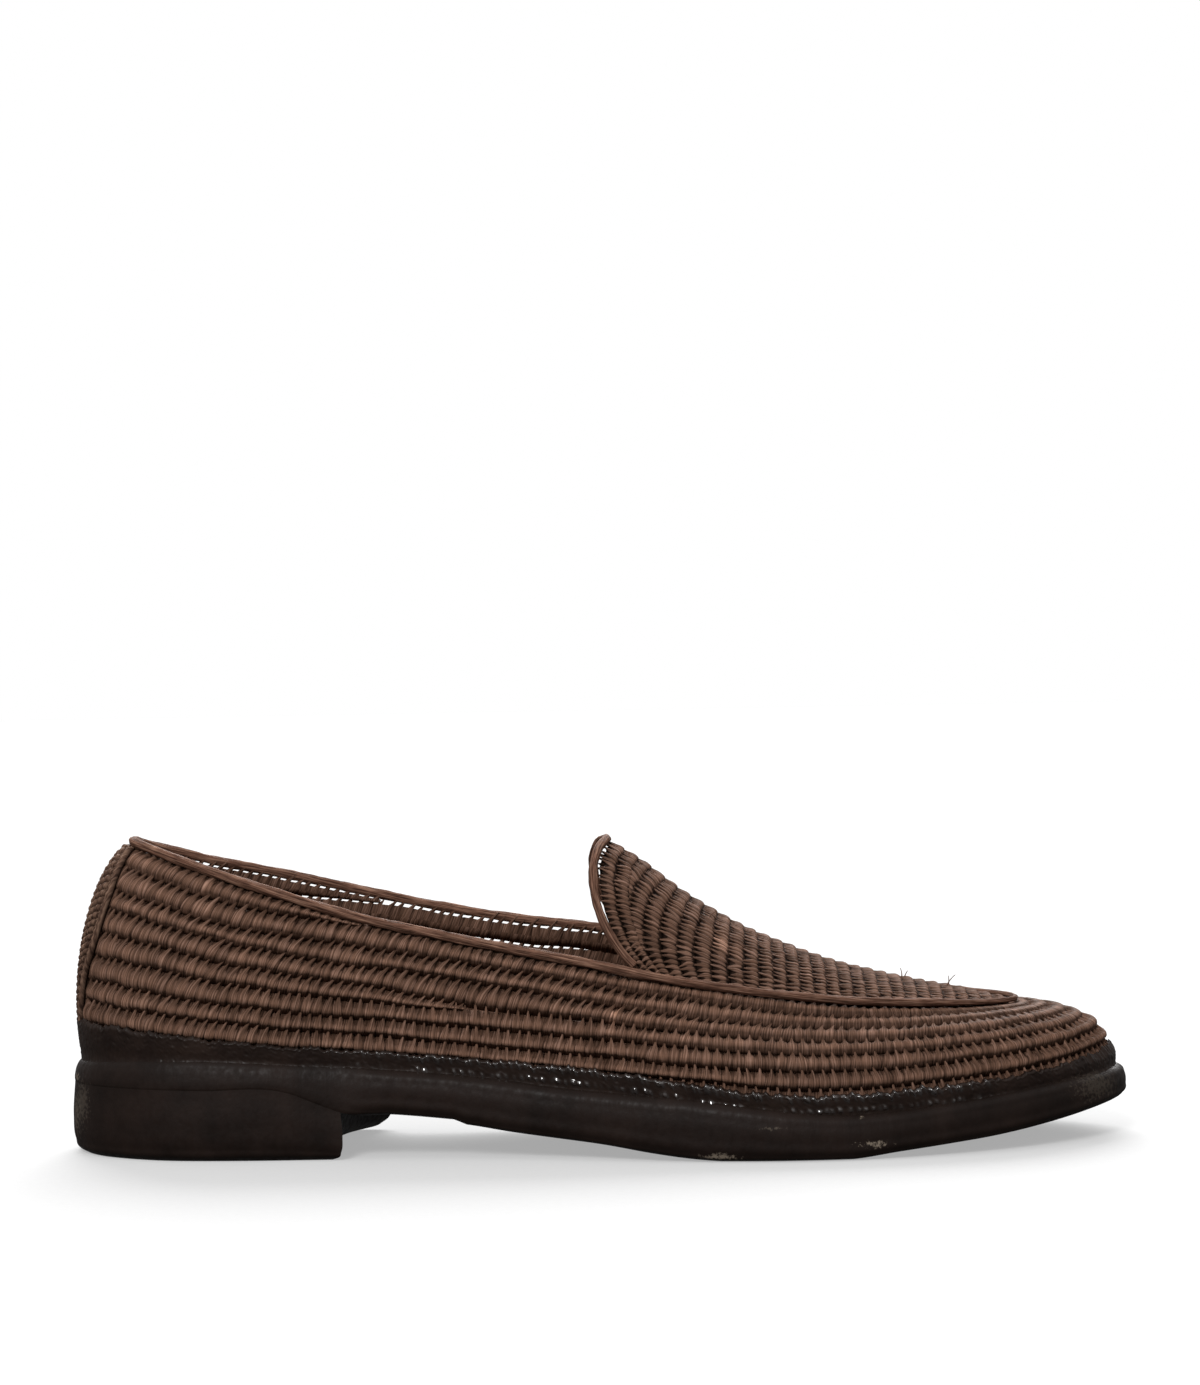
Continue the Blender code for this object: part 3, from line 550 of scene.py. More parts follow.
class Skein:
    """Tubes gathered into one mesh, each point with its place on the strand and its tone."""

    def __init__(self):
        self.points, self.corners, self.sizes, self.places, self.tones = [], [], [], [], []
        self.count = 0

    def add(self, grid, across_fibre, along_fibre, tone, closed=False):
        """A tube from stations of closed sections, with its fibre places at each station and point."""
        stations, loop = grid.shape[:2]
        fibre = np.stack([across_fibre, along_fibre], axis=-1)
        i, j = np.meshgrid(np.arange(stations if closed else stations - 1), np.arange(loop),
                           indexing="ij")
        seats = ((i, j), (i + 1, j), (i + 1, j + 1), (i, j + 1))
        quads = np.stack([a % stations * loop + b % loop for a, b in seats], axis=-1)
        self.corners.append(quads.reshape(-1) + self.count)
        self.sizes.append(np.full(quads.size // 4, 4))
        self.places.append(np.stack([fibre[a, b] for a, b in seats], axis=2).reshape(-1, 2))
        if not closed:
            ring = np.arange(loop)
            for end, station in ((ring, 0), (ring[::-1] + (stations - 1) * loop, -1)):
                self.corners.append(end + self.count)
                self.sizes.append(np.array([loop]))
                self.places.append(fibre[station, :loop])
        self.points.append(grid.reshape(-1, 3))
        self.tones.append(np.broadcast_to(tone, grid.shape[:2]).reshape(-1))
        self.count += stations * loop

    def make(self, name, material, merge=0.0, sharp=180.0):
        """One object of all the tubes."""
        mesh = bpy.data.meshes.new(name)
        corners, sizes = np.concatenate(self.corners), np.concatenate(self.sizes)
        mesh.vertices.add(self.count)
        mesh.vertices.foreach_set("co", to_world(np.concatenate(self.points)).reshape(-1))
        mesh.loops.add(len(corners))
        mesh.loops.foreach_set("vertex_index", corners)
        mesh.polygons.add(len(sizes))
        mesh.polygons.foreach_set("loop_start", np.concatenate([[0], np.cumsum(sizes)[:-1]]))
        mesh.update(calc_edges=True)
        layer = mesh.uv_layers.new(name="fibre")
        layer.data.foreach_set("uv", np.concatenate(self.places).reshape(-1))
        tone = mesh.attributes.new("tone", "FLOAT", "POINT")
        tone.data.foreach_set("value", np.concatenate(self.tones))
        shape = bmesh.new()
        shape.from_mesh(mesh)
        if merge:
            bmesh.ops.remove_doubles(shape, verts=shape.verts, dist=merge * MM)
            bmesh.ops.dissolve_degenerate(shape, edges=shape.edges, dist=1e-7)
        bmesh.ops.recalc_face_normals(shape, faces=shape.faces)
        shape.to_mesh(mesh)
        shape.free()
        mesh.shade_smooth()
        mesh.set_sharp_from_angle(angle=math.radians(sharp))
        mesh.materials.append(material)
        return put(name, mesh)


def fibre_grid(first, second):
    """Two fibre places, by station and by point of the section, one point past the last."""
    return np.broadcast_arrays(np.asarray(first)[:, None], np.asarray(second)[None, :])


def one_tube(name, grid, fibres, tone, material, closed=False, **finish):
    """An object of a single tube."""
    skein = Skein()
    skein.add(grid, *fibres, tone, closed)
    return skein.make(name, material, **finish)


def lay_coil(skein, sheet, path, wrap, seed):
    """One wrapped row on a sheet.

    path holds, at points along the row: column, level, half height, gap to the next row, how far
    the inside closes the gap above and below, lean of the wraps, rake of their teeth, flatness
    and proudness of the row, and sharpness of the teeth.
    wrap holds the pitch, the places across one wrap, the section with its painted highlight and
    shade, half the thickness, its depth on the sheet, the teeth's direction and how far they dive,
    the wrap's roundness (lump), the depth, width and darkness of the seam between wraps, tone and
    unevenness.
    """
    rng = np.random.default_rng(seed)
    seat = path["column"], path["level"]
    run = lengths(sheet.at(*seat, np.zeros(len(path["column"]))))
    wraps = max(1, round(run[-1] / wrap["pitch"]))
    path_steps = sheet.look(sheet.steps, *seat)
    climb = np.gradient(path["level"]) / np.gradient(path["column"])
    climb = climb * path_steps[:, 1] / path_steps[:, 0]
    square = -climb - sheet.look(sheet.skew, *seat)[:, 0]
    places = np.array(wrap["places"])
    place = np.append(np.tile(places, wraps), places[0])[:, None]
    cell = np.append(np.repeat(np.arange(wraps), len(places)), wraps)
    distance = (cell + place[:, 0] + 0.5) * run[-1] / wraps

    def here(values):
        return np.interp(distance, run, np.broadcast_to(values, run.shape))[:, None]

    def each_wrap(spread):
        return rng.normal(0.0, spread * wrap["uneven"], wraps + 1)[cell][:, None]

    column, level, half, gap, shut_above, shut_below, lean, rake, flat, proud, sharp = (
        here(path[key]) for key in ("column", "level", "half", "gap", "above", "below", "lean",
                                    "rake", "flat", "proud", "sharp"))
    swell, tilt, stray, dye = (each_wrap(spread) for spread in WRAP_SPREAD)
    blunt, pointed = (np.interp(np.abs(place), TOOTH_SHAPE[:, 0], TOOTH_SHAPE[:, k]) for k in (1, 2))
    tooth = (blunt + (pointed - blunt) * sharp) * (1 + stray)
    seam = hump(0.5 - np.abs(place), wrap["seam_width"])
    angles, painted_shades = np.radians(wrap["section"][:, 0]), wrap["section"][:, 1]
    up, out = np.cos(angles)[None, :], np.sin(angles)[None, :]
    tip = np.clip(up * wrap["tooth"] / TIP_FULL, 0.0, 1.0) ** TIP_POWER
    barrel = 1 + swell + SLOW_SWELL * wander(distance, SWELL_WAVE, seed + 1)[:, None]
    barrel = barrel - wrap["lump"] * (1 - SHARP_LUMP * sharp) * (2 * place) ** 2
    reach = gap + TOOTH_TUCK
    rise = half * up * (barrel - SEAM_PINCH * seam) + wrap["tooth"] * reach * tooth * tip
    back_corner = (out < -0.5) & (np.abs(up) > 0.3)
    shut = np.where(up > 0, shut_above, shut_below) * (gap / 2 + SHUT_OVERLAP)
    rise = np.where(back_corner, np.sign(up) * (half + shut), rise)
    sunk = wrap["seam"] * (1 - SHARP_SEAM * sharp) * seam
    thick = wrap["thick"] * np.where(out > 0, 1 - flat, 1.0)
    lift = wrap["depth"] + thick * out * barrel - sunk * np.maximum(out, 0.0)
    lift = lift - wrap["dive"] * tooth * tip
    lift = np.where(lift > -GAP, -GAP + (lift + GAP) * proud, lift)
    steps = sheet.look(sheet.steps, column[:, 0], level[:, 0])
    heading = np.sign(path["column"][-1] - path["column"][0])
    slide = (heading * (lean + tilt) + here(square)) * rise
    slide = slide + heading * rake * reach * tooth * tip
    grid = sheet.at(column + slide / steps[:, :1], level + rise / steps[:, 1:], lift)
    turns = np.unwrap(np.append(angles, angles[0] + TURN))
    section_run = (turns - turns[0]) * (float(np.mean(half)) + wrap["thick"]) / 2
    across_fibre, along_fibre = fibre_grid(distance + seed * ROW_SHIFT, section_run)
    tone = (1 + dye) * (1 - wrap["dark"] * (1 - SHARP_DARK * sharp) * seam) * wrap["tone"]
    # Painted highlight and shade round the section, painted shade on broad tabs and painted light on
    # pointed spikes
    tone = tone * painted_shades[None, :] * (1 + tip * tooth * (sharp - TAB_SHADE))
    tone = tone * (1 - FLAT_DARK * np.maximum(flat, 0.0))
    face = grid[:, int(np.argmax(out))]
    for x, z in PALE_WRAPS:
        beside, above = np.abs(face[:, 0] - x), np.abs(face[:, 2] - z)
        pale = (beside < PALE_WRAP[0]) & (above < PALE_WRAP[1]) & (face[:, 1] < 0)
        tone = np.where(pale[:, None], PALE_TONE * tone, tone)
    skein.add(grid, across_fibre, along_fibre + cell[:, None] * WRAP_SHIFT, tone)


def wall_chart():
    """Side wall as a sheet, levels at equal shares of its arc; its arc and rand top by column."""
    phi = np.linspace(0.0, TURN, WALL_COLUMNS, endpoint=False)
    samples = np.linspace(0.0, 1.0, WALL_SAMPLES)
    points = wall(phi[:, None], samples[None, :])
    arcs = np.stack([lengths(line) for line in points])
    goal = along(RAND_TOP, 1, stretch(phi))
    rand_top = np.array([np.interp(height, line[:, 2], arc / arc[-1])
                         for height, line, arc in zip(goal, points, arcs)])
    levels = np.linspace(0.0, 1.0, WALL_LEVELS)
    share = np.stack([np.interp(levels * arc[-1], arc, samples) for arc in arcs])
    angles = np.broadcast_to(phi[:, None], share.shape)
    sheet = Sheet(wall(angles, share), facing(wall, angles, share), closed=True)
    return sheet, arcs[:, -1], rand_top


SIDE, WALL_RISE, RAND_SHARE = wall_chart()
SIDE_WRAP = {
    "pitch": WRAP_PITCH, "places": (-0.5, -0.40, -0.27, -0.15, -0.05, 0.05, 0.15, 0.27, 0.40),
    "section": ROW_SECTION_AND_SHADE, "thick": 1.25, "depth": -0.5, "tooth": 1, "dive": 0.4, "lump": 0.22,
    "seam": 0.5, "seam_width": 0.06, "dark": 0.64, "tone": 1.04, "uneven": 1.1}
HIDDEN_WRAP = {**SIDE_WRAP, "pitch": 8.0, "places": (-0.5, 0.0)}
APRON_WRAP = {
    "pitch": APRON_WRAP_PITCH, "places": (-0.5, -0.38, -0.24, -0.08, 0.08, 0.24, 0.38),
    "section": APRON_SECTION_AND_SHADE, "thick": 0.5, "depth": -0.18, "tooth": -1, "dive": 0.2, "lump": 0.5,
    "seam": 0.55, "seam_width": 0.13, "dark": 0.9, "tone": 1.2, "uneven": 1.5}


def column_x(column):
    """Distance from the heel of a column of the wall."""
    return stretch(column / WALL_COLUMNS * TURN)


def row_lines():
    """Arc shares of the gaps that bound the rows of the sides, by column, the rand's top first."""
    x = stretch(np.linspace(0.0, TURN, WALL_COLUMNS, endpoint=False))
    gaps = [np.interp(x, ROW_GAPS[:, 0], ROW_GAPS[:, k]) for k in range(1, ROW_GAPS.shape[1])]
    lines = np.stack([np.zeros(len(x))] + gaps + [np.ones(len(x))], axis=1)
    shifts = range(-LINE_SMOOTHING, LINE_SMOOTHING + 1)
    lines = np.mean([np.roll(lines, shift, axis=0) for shift in shifts], axis=0)
    lines = RAND_SHARE[:, None] + (1 - RAND_SHARE[:, None]) * lines
    lines = np.where(lines > 0.999, 1 + TOP_ROW_LIFT / WALL_RISE[:, None], lines)
    run = np.arange(WALL_COLUMNS) * TURN
    for k in range(1, lines.shape[1] - 1):
        seed = LINE_SEED + (RUN_OUT_ROW if k == RUN_OUT_ROW + 1 else k)
        lines[:, k] += LINE_WAVER * wander(run, WALL_COLUMNS * TURN / LINE_WAVES, seed) / WALL_RISE
    return lines


def side_columns(side, start):
    """Columns of the wall from the heel to the toe along one side."""
    half = WALL_COLUMNS // 2
    if side == "outer":
        return np.arange(start, half + 1)
    return np.arange(WALL_COLUMNS - start, half - 1, -1)


def strip_angle(share):
    """Half width of the back strip, as an angle round the wall, at an arc share of the wall."""
    low = RAND_SHARE[0]
    return along(STRIP_EDGE, 1, (share - low) / (1 - low))


def weave_side(side, material):
    """Rows of one side of the wall, from under the back strip to the middle of the toe."""
    skein = Skein()
    lines = row_lines()
    forefoot = ease(*FOREFOOT, column_x(np.arange(WALL_COLUMNS)))
    lines[:, 0] += (TEETH_OVER_RUBBER * forefoot - SUNK_IN_RUBBER * (1 - forefoot)) / WALL_RISE
    bounds = [np.zeros(WALL_COLUMNS), lines[:, 0] - BURIED_ROW / WALL_RISE, *lines.T]
    for row, (low, high) in enumerate(zip(bounds, bounds[1:])):
        angle = strip_angle(float((low[0] + high[0]) / 2))
        columns = side_columns(side, int((angle - STRIP_OVERLAP) / TURN * WALL_COLUMNS))
        wrapped = columns % WALL_COLUMNS
        height = (high - low)[wrapped] * WALL_RISE[wrapped]
        ends = np.flatnonzero(height < SHORTEST_ROW)
        last = ends[0] if len(ends) else len(columns)
        columns, wrapped, height = columns[:last], wrapped[:last], height[:last]
        x = column_x(wrapped)
        from_heel = np.minimum(wrapped, WALL_COLUMNS - wrapped) / WALL_COLUMNS * TURN
        proud = ease(angle + STRIP_RISE[0], angle + STRIP_RISE[1], from_heel)
        proud = proud * ROW_PROUD[min(row, 2)]
        if len(ends):
            to_end = np.arange(len(columns))[::-1].astype(float)
            proud = proud * (SUNK_END + (1 - SUNK_END) * ease(0.0, RUN_OUT_COLUMNS, to_end))
        gap = np.minimum(along(ROW_OPENING, 1, x), grade(x, *GAP_SHARE) * height)
        from_top = len(bounds) - 2 - row
        open_here = by_cord = 0.0
        if side == "inner":
            open_here = between(x, *OPEN_PART)
        else:
            by_cord = CORD_SHUT * ease(*BY_CORD, high[wrapped])
        above, below = (1 - open_here * OPEN_SHARE[min(from_top + k, 5)] for k in (0, 1))
        upright = ease(*UPRIGHT, x) if from_top > UPPER_ROWS else 0.0
        path = {
            "column": columns.astype(float), "half": (height - gap) / 2, "gap": gap,
            "level": ((low + high) / 2)[wrapped] * (WALL_LEVELS - 1),
            "above": above + by_cord, "below": below, "proud": proud,
            "lean": along(WRAP_LEAN, 1, x) * (1 - UPRIGHT_LEAN * upright),
            "rake": along(WRAP_LEAN, 2, x) * (1 - upright),
            "flat": grade(x, *(FLAT if row > LOW_ROWS else LOW_FLAT)),
            "sharp": grade(x, *(UPPER_TEETH if from_top < UPPER_ROWS else LOWER_TEETH)),
        }
        lay_coil(skein, SIDE, path, SIDE_WRAP if row else HIDDEN_WRAP, SIDE_SEEDS[side] + row)
    return skein.make(f"{side}_side_weave", material)


def apron_chart():
    """The apron as a sheet: columns across it, levels from the throat to the toe."""
    across = np.linspace(-1.0, 1.0, APRON_COLUMNS)[:, None]
    x = np.linspace(THROAT_CREST_X, APRON_TOE, APRON_LEVELS)[None, :]
    across, x = (np.ascontiguousarray(grid) for grid in np.broadcast_arrays(across, x))
    inside = np.clip(across, -APRON_RIM, APRON_RIM)
    return Sheet(apron(x, inside), facing(apron, x, inside, low=-1.0), closed=False)


def apron_row(x, across):
    """Distance along the apron of a cross row, which leans back towards the seams near the throat."""
    lean = APRON_ROW_LEAN * (1 - ease(*APRON_STRAIGHT, x))
    return x - lean * np.abs(across) ** ARCH_POWER_THROAT


def weave_apron(material):
    """Rows along the throat edge, then cross rows of the apron, from seam to seam."""
    sheet = apron_chart()
    skein = Skein()
    per_level = (APRON_TOE - THROAT_CREST_X) / (APRON_LEVELS - 1)
    throat_end = APRON_FIRST_ROW + (THROAT_ROWS - 1) * APRON_ROW_PITCH
    for row in range(APRON_ROWS):
        columns = np.linspace(0.0, APRON_COLUMNS - 1.002, APRON_SAMPLES)
        across = 2 * columns / (APRON_COLUMNS - 1) - 1
        x = APRON_FIRST_ROW + row * APRON_ROW_PITCH
        below = 1.0
        if row == 0:
            below = THROAT_SHUT - THROAT_OPENED * between(np.abs(across), *THROAT_OPEN)
        behind, place, ahead = (apron_row(x + share * APRON_ROW_PITCH, across)
                                for share in (-0.5, 0.0, 0.5))
        row_pitch = ahead - behind
        if row < THROAT_ROWS:
            place, row_pitch = np.full(columns.shape, x), np.full(columns.shape, APRON_ROW_PITCH)
        else:
            clear = place > throat_end
            columns, place, row_pitch = columns[clear], place[clear], row_pitch[clear]
        waver = APRON_WANDER * wander(columns, 60.0, APRON_PLACE_SEED + row)
        level = (place - THROAT_CREST_X) / per_level + waver
        pitch = sheet.look(sheet.steps, columns, level)[:, 1] * row_pitch / per_level
        gap = np.minimum(APRON_GAPS[row % 2], APRON_GAP_SHARE * pitch)
        edge = np.minimum(columns, APRON_COLUMNS - 1 - columns) / APRON_COLUMNS
        proud = SEAM_PROUD + (1 - SEAM_PROUD) * ease(0.0, SEAM_RISE, edge)
        if row >= THROAT_ROWS:
            clear_of_throat = ease(throat_end, throat_end + 0.9 * APRON_ROW_PITCH, place)
            proud = proud * (SUNK_END + (1 - SUNK_END) * clear_of_throat)
        path = {
            "column": columns, "level": level, "half": (pitch - gap) / 2, "gap": gap,
            "above": 1.0, "below": below, "rake": APRON_RAKE, "flat": 0.0, "proud": proud,
            "lean": APRON_LEAN + APRON_LEAN_WANDER * wander(columns, 90.0, APRON_LEAN_SEED + row),
            "sharp": APRON_SHARP,
        }
        lay_coil(skein, sheet, path, APRON_WRAP, APRON_SEED + row)
    return skein.make("apron_weave", material)


def wrap_cord(name, points, closed, reference, girth, material, seed):
    """Round cord along a line of points, its fibres lengthwise with a slow twist."""
    source = np.concatenate([points, points[:1]]) if closed else points
    run = lengths(source)
    total = run[-1]
    distance = np.linspace(0.0, total, int(total / CORD_STEP), endpoint=not closed)
    line = np.stack([np.interp(distance, run, source[:, k]) for k in range(3)], axis=-1)
    if closed:
        tangent = unit(np.roll(line, -1, axis=0) - np.roll(line, 1, axis=0))
    else:
        tangent = unit(np.gradient(line, axis=0))
    side = unit(np.cross(tangent, np.asarray(reference, dtype=float)))
    top = np.cross(side, tangent)
    turns = np.linspace(0.0, TURN, CORD_CORNERS, endpoint=False)
    strands = np.abs(np.sin(2 * turns[None, :] + distance[:, None] / STRAND_TWIST))
    strands = STRAND_DEPTH * strands - STRAND_DEPTH / 2
    uneven = CORD_SWELL * wander(distance, 16.0, seed)[:, None]
    uneven = uneven + CORD_LUMP * wander(distance[:, None] + 41.0 * turns[None, :], 9.0, seed + 2)
    thinning = grade(line[:, 0], *CORD_GIRTH)[:, None]
    cord_tone = grade(line[:, 0], *CORD_TONE)[:, None]
    radius = CORD_RADIUS * (girth + strands + uneven) * thinning
    line[:, 2] -= CORD_SETTLE * CORD_RADIUS * (1 - thinning[:, 0])
    grid = line[:, None] + radius[..., None] * (
        np.cos(turns)[None, :, None] * side[:, None] + np.sin(turns)[None, :, None] * top[:, None])
    stations = np.append(distance, total) if closed else distance
    along_fibre, across_fibre = fibre_grid(stations, np.append(turns, TURN) * CORD_RADIUS)
    tone = 1 + CORD_DYE * wander(distance, 9.0, seed + 1)[:, None]
    # Painted shade on the underside, and in the grooves between strands
    tone = tone + CORD_UNDERSIDE_SHADE * np.minimum(np.sin(turns), 0.0)[None, :]
    tone = (tone + STRAND_SHADE * strands) * cord_tone
    return one_tube(name, grid, (across_fibre, along_fibre), tone, material, closed)


def wrap_edge_piping(material):
    """Cord round the collar and the apron's seam."""
    line = cord_line(np.linspace(0.0, TURN, 720, endpoint=False))
    return wrap_cord("edge_cord", line, True, (0.0, 0.0, 1.0), 1.0, material, CORD_SEEDS[0])


def wrap_throat_piping(material):
    """Cord over the apron's rear edge."""
    across = THROAT_CORD_REACH * np.sin(np.linspace(-1.0, 1.0, 241) * math.pi / 2)
    line = apron(np.full(across.shape, THROAT_CREST_X), across)
    return wrap_cord("throat_cord", line, False, (1.0, 0.0, 0.0), 0.9, material, CORD_SEEDS[1])


def crochet_back_strip(material):
    """Strip crocheted over the heel seam: a rib at each edge, a line of holes, columns of stitches."""
    levels = np.linspace(0.0, 1.0, 301)
    across = np.linspace(-1.0, 1.0, 121)
    low = RAND_SHARE[0] - STRIP_FOOT
    share = low + (1.0 - low) * levels
    angle = strip_angle(np.maximum(share, RAND_SHARE[0]))
    column = across[None, :] * angle[:, None] / TURN * WALL_COLUMNS
    level = np.broadcast_to(share[:, None] * (WALL_LEVELS - 1), column.shape)
    rise = share[:, None] * WALL_RISE[0]
    width = column * SIDE.look(SIDE.steps, np.zeros(len(levels)), level[:, 0])[:, :1]
    inset = np.abs(width[:, :1]) - np.abs(width)
    lane = np.floor((inset - STRIP_FIRST_COLUMN) / STRIP_COLUMN)
    lane_place = (inset - STRIP_FIRST_COLUMN) / STRIP_COLUMN - lane - 0.5
    stitch = rise / STRIP_STITCH + 0.5 * np.mod(lane, 2)
    stitch_place = stitch - np.round(stitch) + STITCH_SLANT * lane_place
    knot = 1 - STITCH_FALL[0] * lane_place ** 2 - STITCH_FALL[1] * stitch_place ** 2
    knot = np.sqrt(np.clip(knot, 0.0, 1.0))
    rib = np.sqrt(np.clip(1 - (2 * inset / STRIP_RIB - 1) ** 2, 0.0, 1.0))
    rib = rib * (RIB_WAVE[0] + RIB_WAVE[1] * np.cos(TURN * rise / STRIP_STITCH))
    hole_place = rise / STRIP_STITCH - np.round(rise / STRIP_STITCH)
    bar = np.clip(1 - hump(hole_place, HOLE_SIZE) * HOLE_DEPTH, 0.0, 1.0)
    bar = STRIP_BAR * bar * hump(inset - STRIP_HOLES, HOLE_LINE)
    relief = np.where(inset < STRIP_RIB, rib, np.where(inset < STRIP_FIRST_COLUMN, bar, knot))
    relief = np.maximum(relief, bar)
    ends = np.minimum(*(ease(0.0, STRIP_END, way) for way in (levels, 1 - levels)))[:, None]
    ends = STRIP_END_HEIGHT + (1 - STRIP_END_HEIGHT) * ends
    lift = GAP + (STRIP_GROUND + STRIP_HEIGHT * relief) * ends
    outside = SIDE.at(column, level, lift)
    back_column, back_level = column[:, ::-8], level[:, ::-8]
    inside = SIDE.at(back_column, back_level, np.full(back_column.shape, GAP * 0.5))
    grid = np.concatenate([outside, inside], axis=1)
    across_fibre = np.zeros((len(levels), grid.shape[1] + 1))
    across_fibre[:, :len(across)] = width
    tone = np.full(grid.shape[:2], STRIP_BACK_TONE)
    # Painted shade: darker in the hollows and holes, lighter on raised stitches and ribs
    tone[:, :len(across)] = STRIP_HOLLOW_SHADE + STRIP_RELIEF_SHADE * relief
    fibres = across_fibre, np.broadcast_to(rise, across_fibre.shape)
    return one_tube("crocheted_strip", grid, fibres, tone, material)


def dip_rand(material):
    """Rubber skin dipped over the foot of the weave, whose wraps show as two lines of lumps."""
    column = np.arange(RAND_COLUMNS) / RAND_COLUMNS * WALL_COLUMNS
    rise, top_share = (np.interp(column, np.arange(WALL_COLUMNS + 1), np.append(values, values[0]))
                       for values in (WALL_RISE, RAND_SHARE))
    height = top_share * rise
    x = column_x(column)[:, None]
    distance = lengths(SIDE.at(column, height / rise * (WALL_LEVELS - 1), np.zeros(RAND_COLUMNS)))
    rng = np.random.default_rng(RAND_SEED)
    lumps = int(distance[-1] / LUMP_PITCH) + 2
    tall, shift = rng.uniform(*LUMP_TALL, lumps), rng.normal(0.0, LUMP_SPREAD, lumps)
    smallest, size_range, power = LUMP_SIZE
    big, big_below = smallest + size_range * rng.uniform(0.0, 1.0, (2, lumps)) ** power
    broad = rng.uniform(*LUMP_BROAD, lumps)
    share = two_paces(0.4, 9, 25)
    below = (1 - share)[None, :] * height[:, None]
    phase = (distance[:, None] - LUMP_SLANT * below) / LUMP_PITCH
    cell = np.clip(np.floor(phase).astype(int), 0, lumps - 1)
    place = phase - cell - 0.5 - shift[cell]
    upper = big[cell] * hump(below - LUMP_LINE[0], LUMP_LINE[1])
    lower_line = LOWER_LUMP_LINE[0] + LOWER_HANG * tall[cell]
    lower = LOWER_SHARE * big_below[cell] * hump(below - lower_line, LOWER_LUMP_LINE[1])
    relief = hump(place, broad[cell]) * (upper + lower) * between(x, *LUMPS_SHOW)
    ragged = RAGGED * hump(place[:, -1], RAGGED_WIDTH) * tall[cell[:, -1]]
    ragged = ragged + RAGGED_WAVER * wander(distance, RAGGED_WAVE, RAND_SEED + 1)
    arc = share[None, :] * (height + ragged + RAND_DROP)[:, None] - RAND_DROP
    level = arc / rise[:, None] * (WALL_LEVELS - 1)
    skin = smooth(RAND_FACE[:, 0], RAND_FACE[:, 1], share)[None, :]
    skin = skin * (1 - LIP_TAPER * ease(*LIP, share)[None, :] * ease(*LIP_TOE, x))
    one_way, other_way = (wander(distance[:, None] + slant * below, wave, RAND_SEED + k)
                          for k, (slant, wave) in enumerate(SAGS, 3))
    swell = SKIN_SWELL * wander(distance, SKIN_WAVE, RAND_SEED + 2)[:, None]
    skin = skin + LUMP_HEIGHT * relief + swell + SKIN_SAG * (one_way * other_way)
    back_level = np.stack([level[:, -1], level[:, -1] / 2, np.zeros(RAND_COLUMNS)], axis=1)
    faces = ((level, skin), (back_level, np.full(back_level.shape, GAP * 0.6)))
    grid = np.concatenate([SIDE.at(np.broadcast_to(column[:, None], up.shape), up, lift)
                           for up, lift in faces], axis=1)
    gleam = np.zeros(grid.shape[:2])
    gleam[:, :len(share)] = np.clip(LUMP_GLEAM * relief, 0.0, 1.0)
    fibres = fibre_grid(np.arange(RAND_COLUMNS + 1) * 0.5, np.arange(grid.shape[1] + 1) * 0.5)
    return one_tube("dipped_rand", grid, fibres, gleam, material, closed=True)


def pour_sole(material):
    """Sole as sections across the shoe, each with two bulging edges."""
    angles = np.linspace(0.0, math.pi, 261)
    x = stretch(angles)
    low = np.maximum(along(SOLE, 1, x), 0.0)
    forefoot = ease(*HEEL_SEAT, x)
    shares = two_paces(0.13, 7, 20)
    sides = []
    for phi in (angles, TURN - angles):
        high = on_sole(outline(phi, -SOLE_EDGE_INSET)[0], 0.0)[..., 2]
        levels = []
        for share in shares:
            seat, ahead = (along(SOLE_EDGE, k, share) for k in (1, 2))
            edge = outline(phi, seat + (ahead - seat) * forefoot)[0]
            levels.append(join(edge, low + share * (high - low)))
        sides.append(np.stack(levels, axis=1))
    outer, inner = sides
    between_edges = np.linspace(0.0, 1.0, 15)[None, 1:-1, None]
    top = outer[:, -1:] * (1 - between_edges) + inner[:, -1:] * between_edges
    bottom = inner[:, :1] * (1 - between_edges) + outer[:, :1] * between_edges
    grid = np.concatenate([outer, top, inner[:, ::-1], bottom], axis=1)
    fibres = fibre_grid(x, np.arange(grid.shape[1] + 1.0))
    return one_tube("poured_sole", grid, fibres, 0.0, material, **RUBBER_CUT)


def mould_heel(material):
    """Heel block under the seat of the sole, its breast hollowed and slanted."""
    across = np.sin(np.linspace(-1.0, 1.0, 25) * math.pi / 2)
    forwards = 1 - np.cos(np.linspace(0.0, math.pi / 2, 61))

    def place(w, level, q):
        """Point of the block: sideways -1 to 1, up 0 to 1, forwards 0 to 1."""
        offset, outer, inner = (float(along(HEEL_EDGE, k, level)) for k in (1, 2, 3))
        breast = outer + (inner - outer) * (w + 1) / 2 - BREAST_HOLLOW * (1 - w * w)
        phi = np.arccos(1 - 2 * q * (breast + offset * BREAST_ROUNDING) / LENGTH)
        left, right = (outline(angle, offset)[0] for angle in (phi, TURN - phi))
        plan = left + (right - left) * ((w + 1) / 2)
        roof = along(SOLE, 1, np.maximum(plan[..., 0], 0.0)) - HEEL_SEAT_GAP
        return join(plan, roof * level)

    heights = two_paces(0.2, 9, 15)[1:-1]
    loop = [(w, 0.0) for w in across]
    loop += [(1.0, level) for level in heights]
    loop += [(w, 1.0) for w in across[::-1]]
    loop += [(-1.0, level) for level in heights[::-1]]
    grid = [np.stack([place(w, level, forwards) for w, level in loop], axis=1)]
    for s in np.linspace(1.0, 0.0, 13)[1:]:
        grid.append(np.stack([place(w * s, 0.5 + (level - 0.5) * s, forwards[-1:])
                              for w, level in loop], axis=1))
    grid = np.concatenate(grid, axis=0)
    fibres = fibre_grid(np.arange(grid.shape[0]), np.arange(grid.shape[1] + 1))
    return one_tube("moulded_heel", grid, fibres, 0.0, material, **RUBBER_CUT)


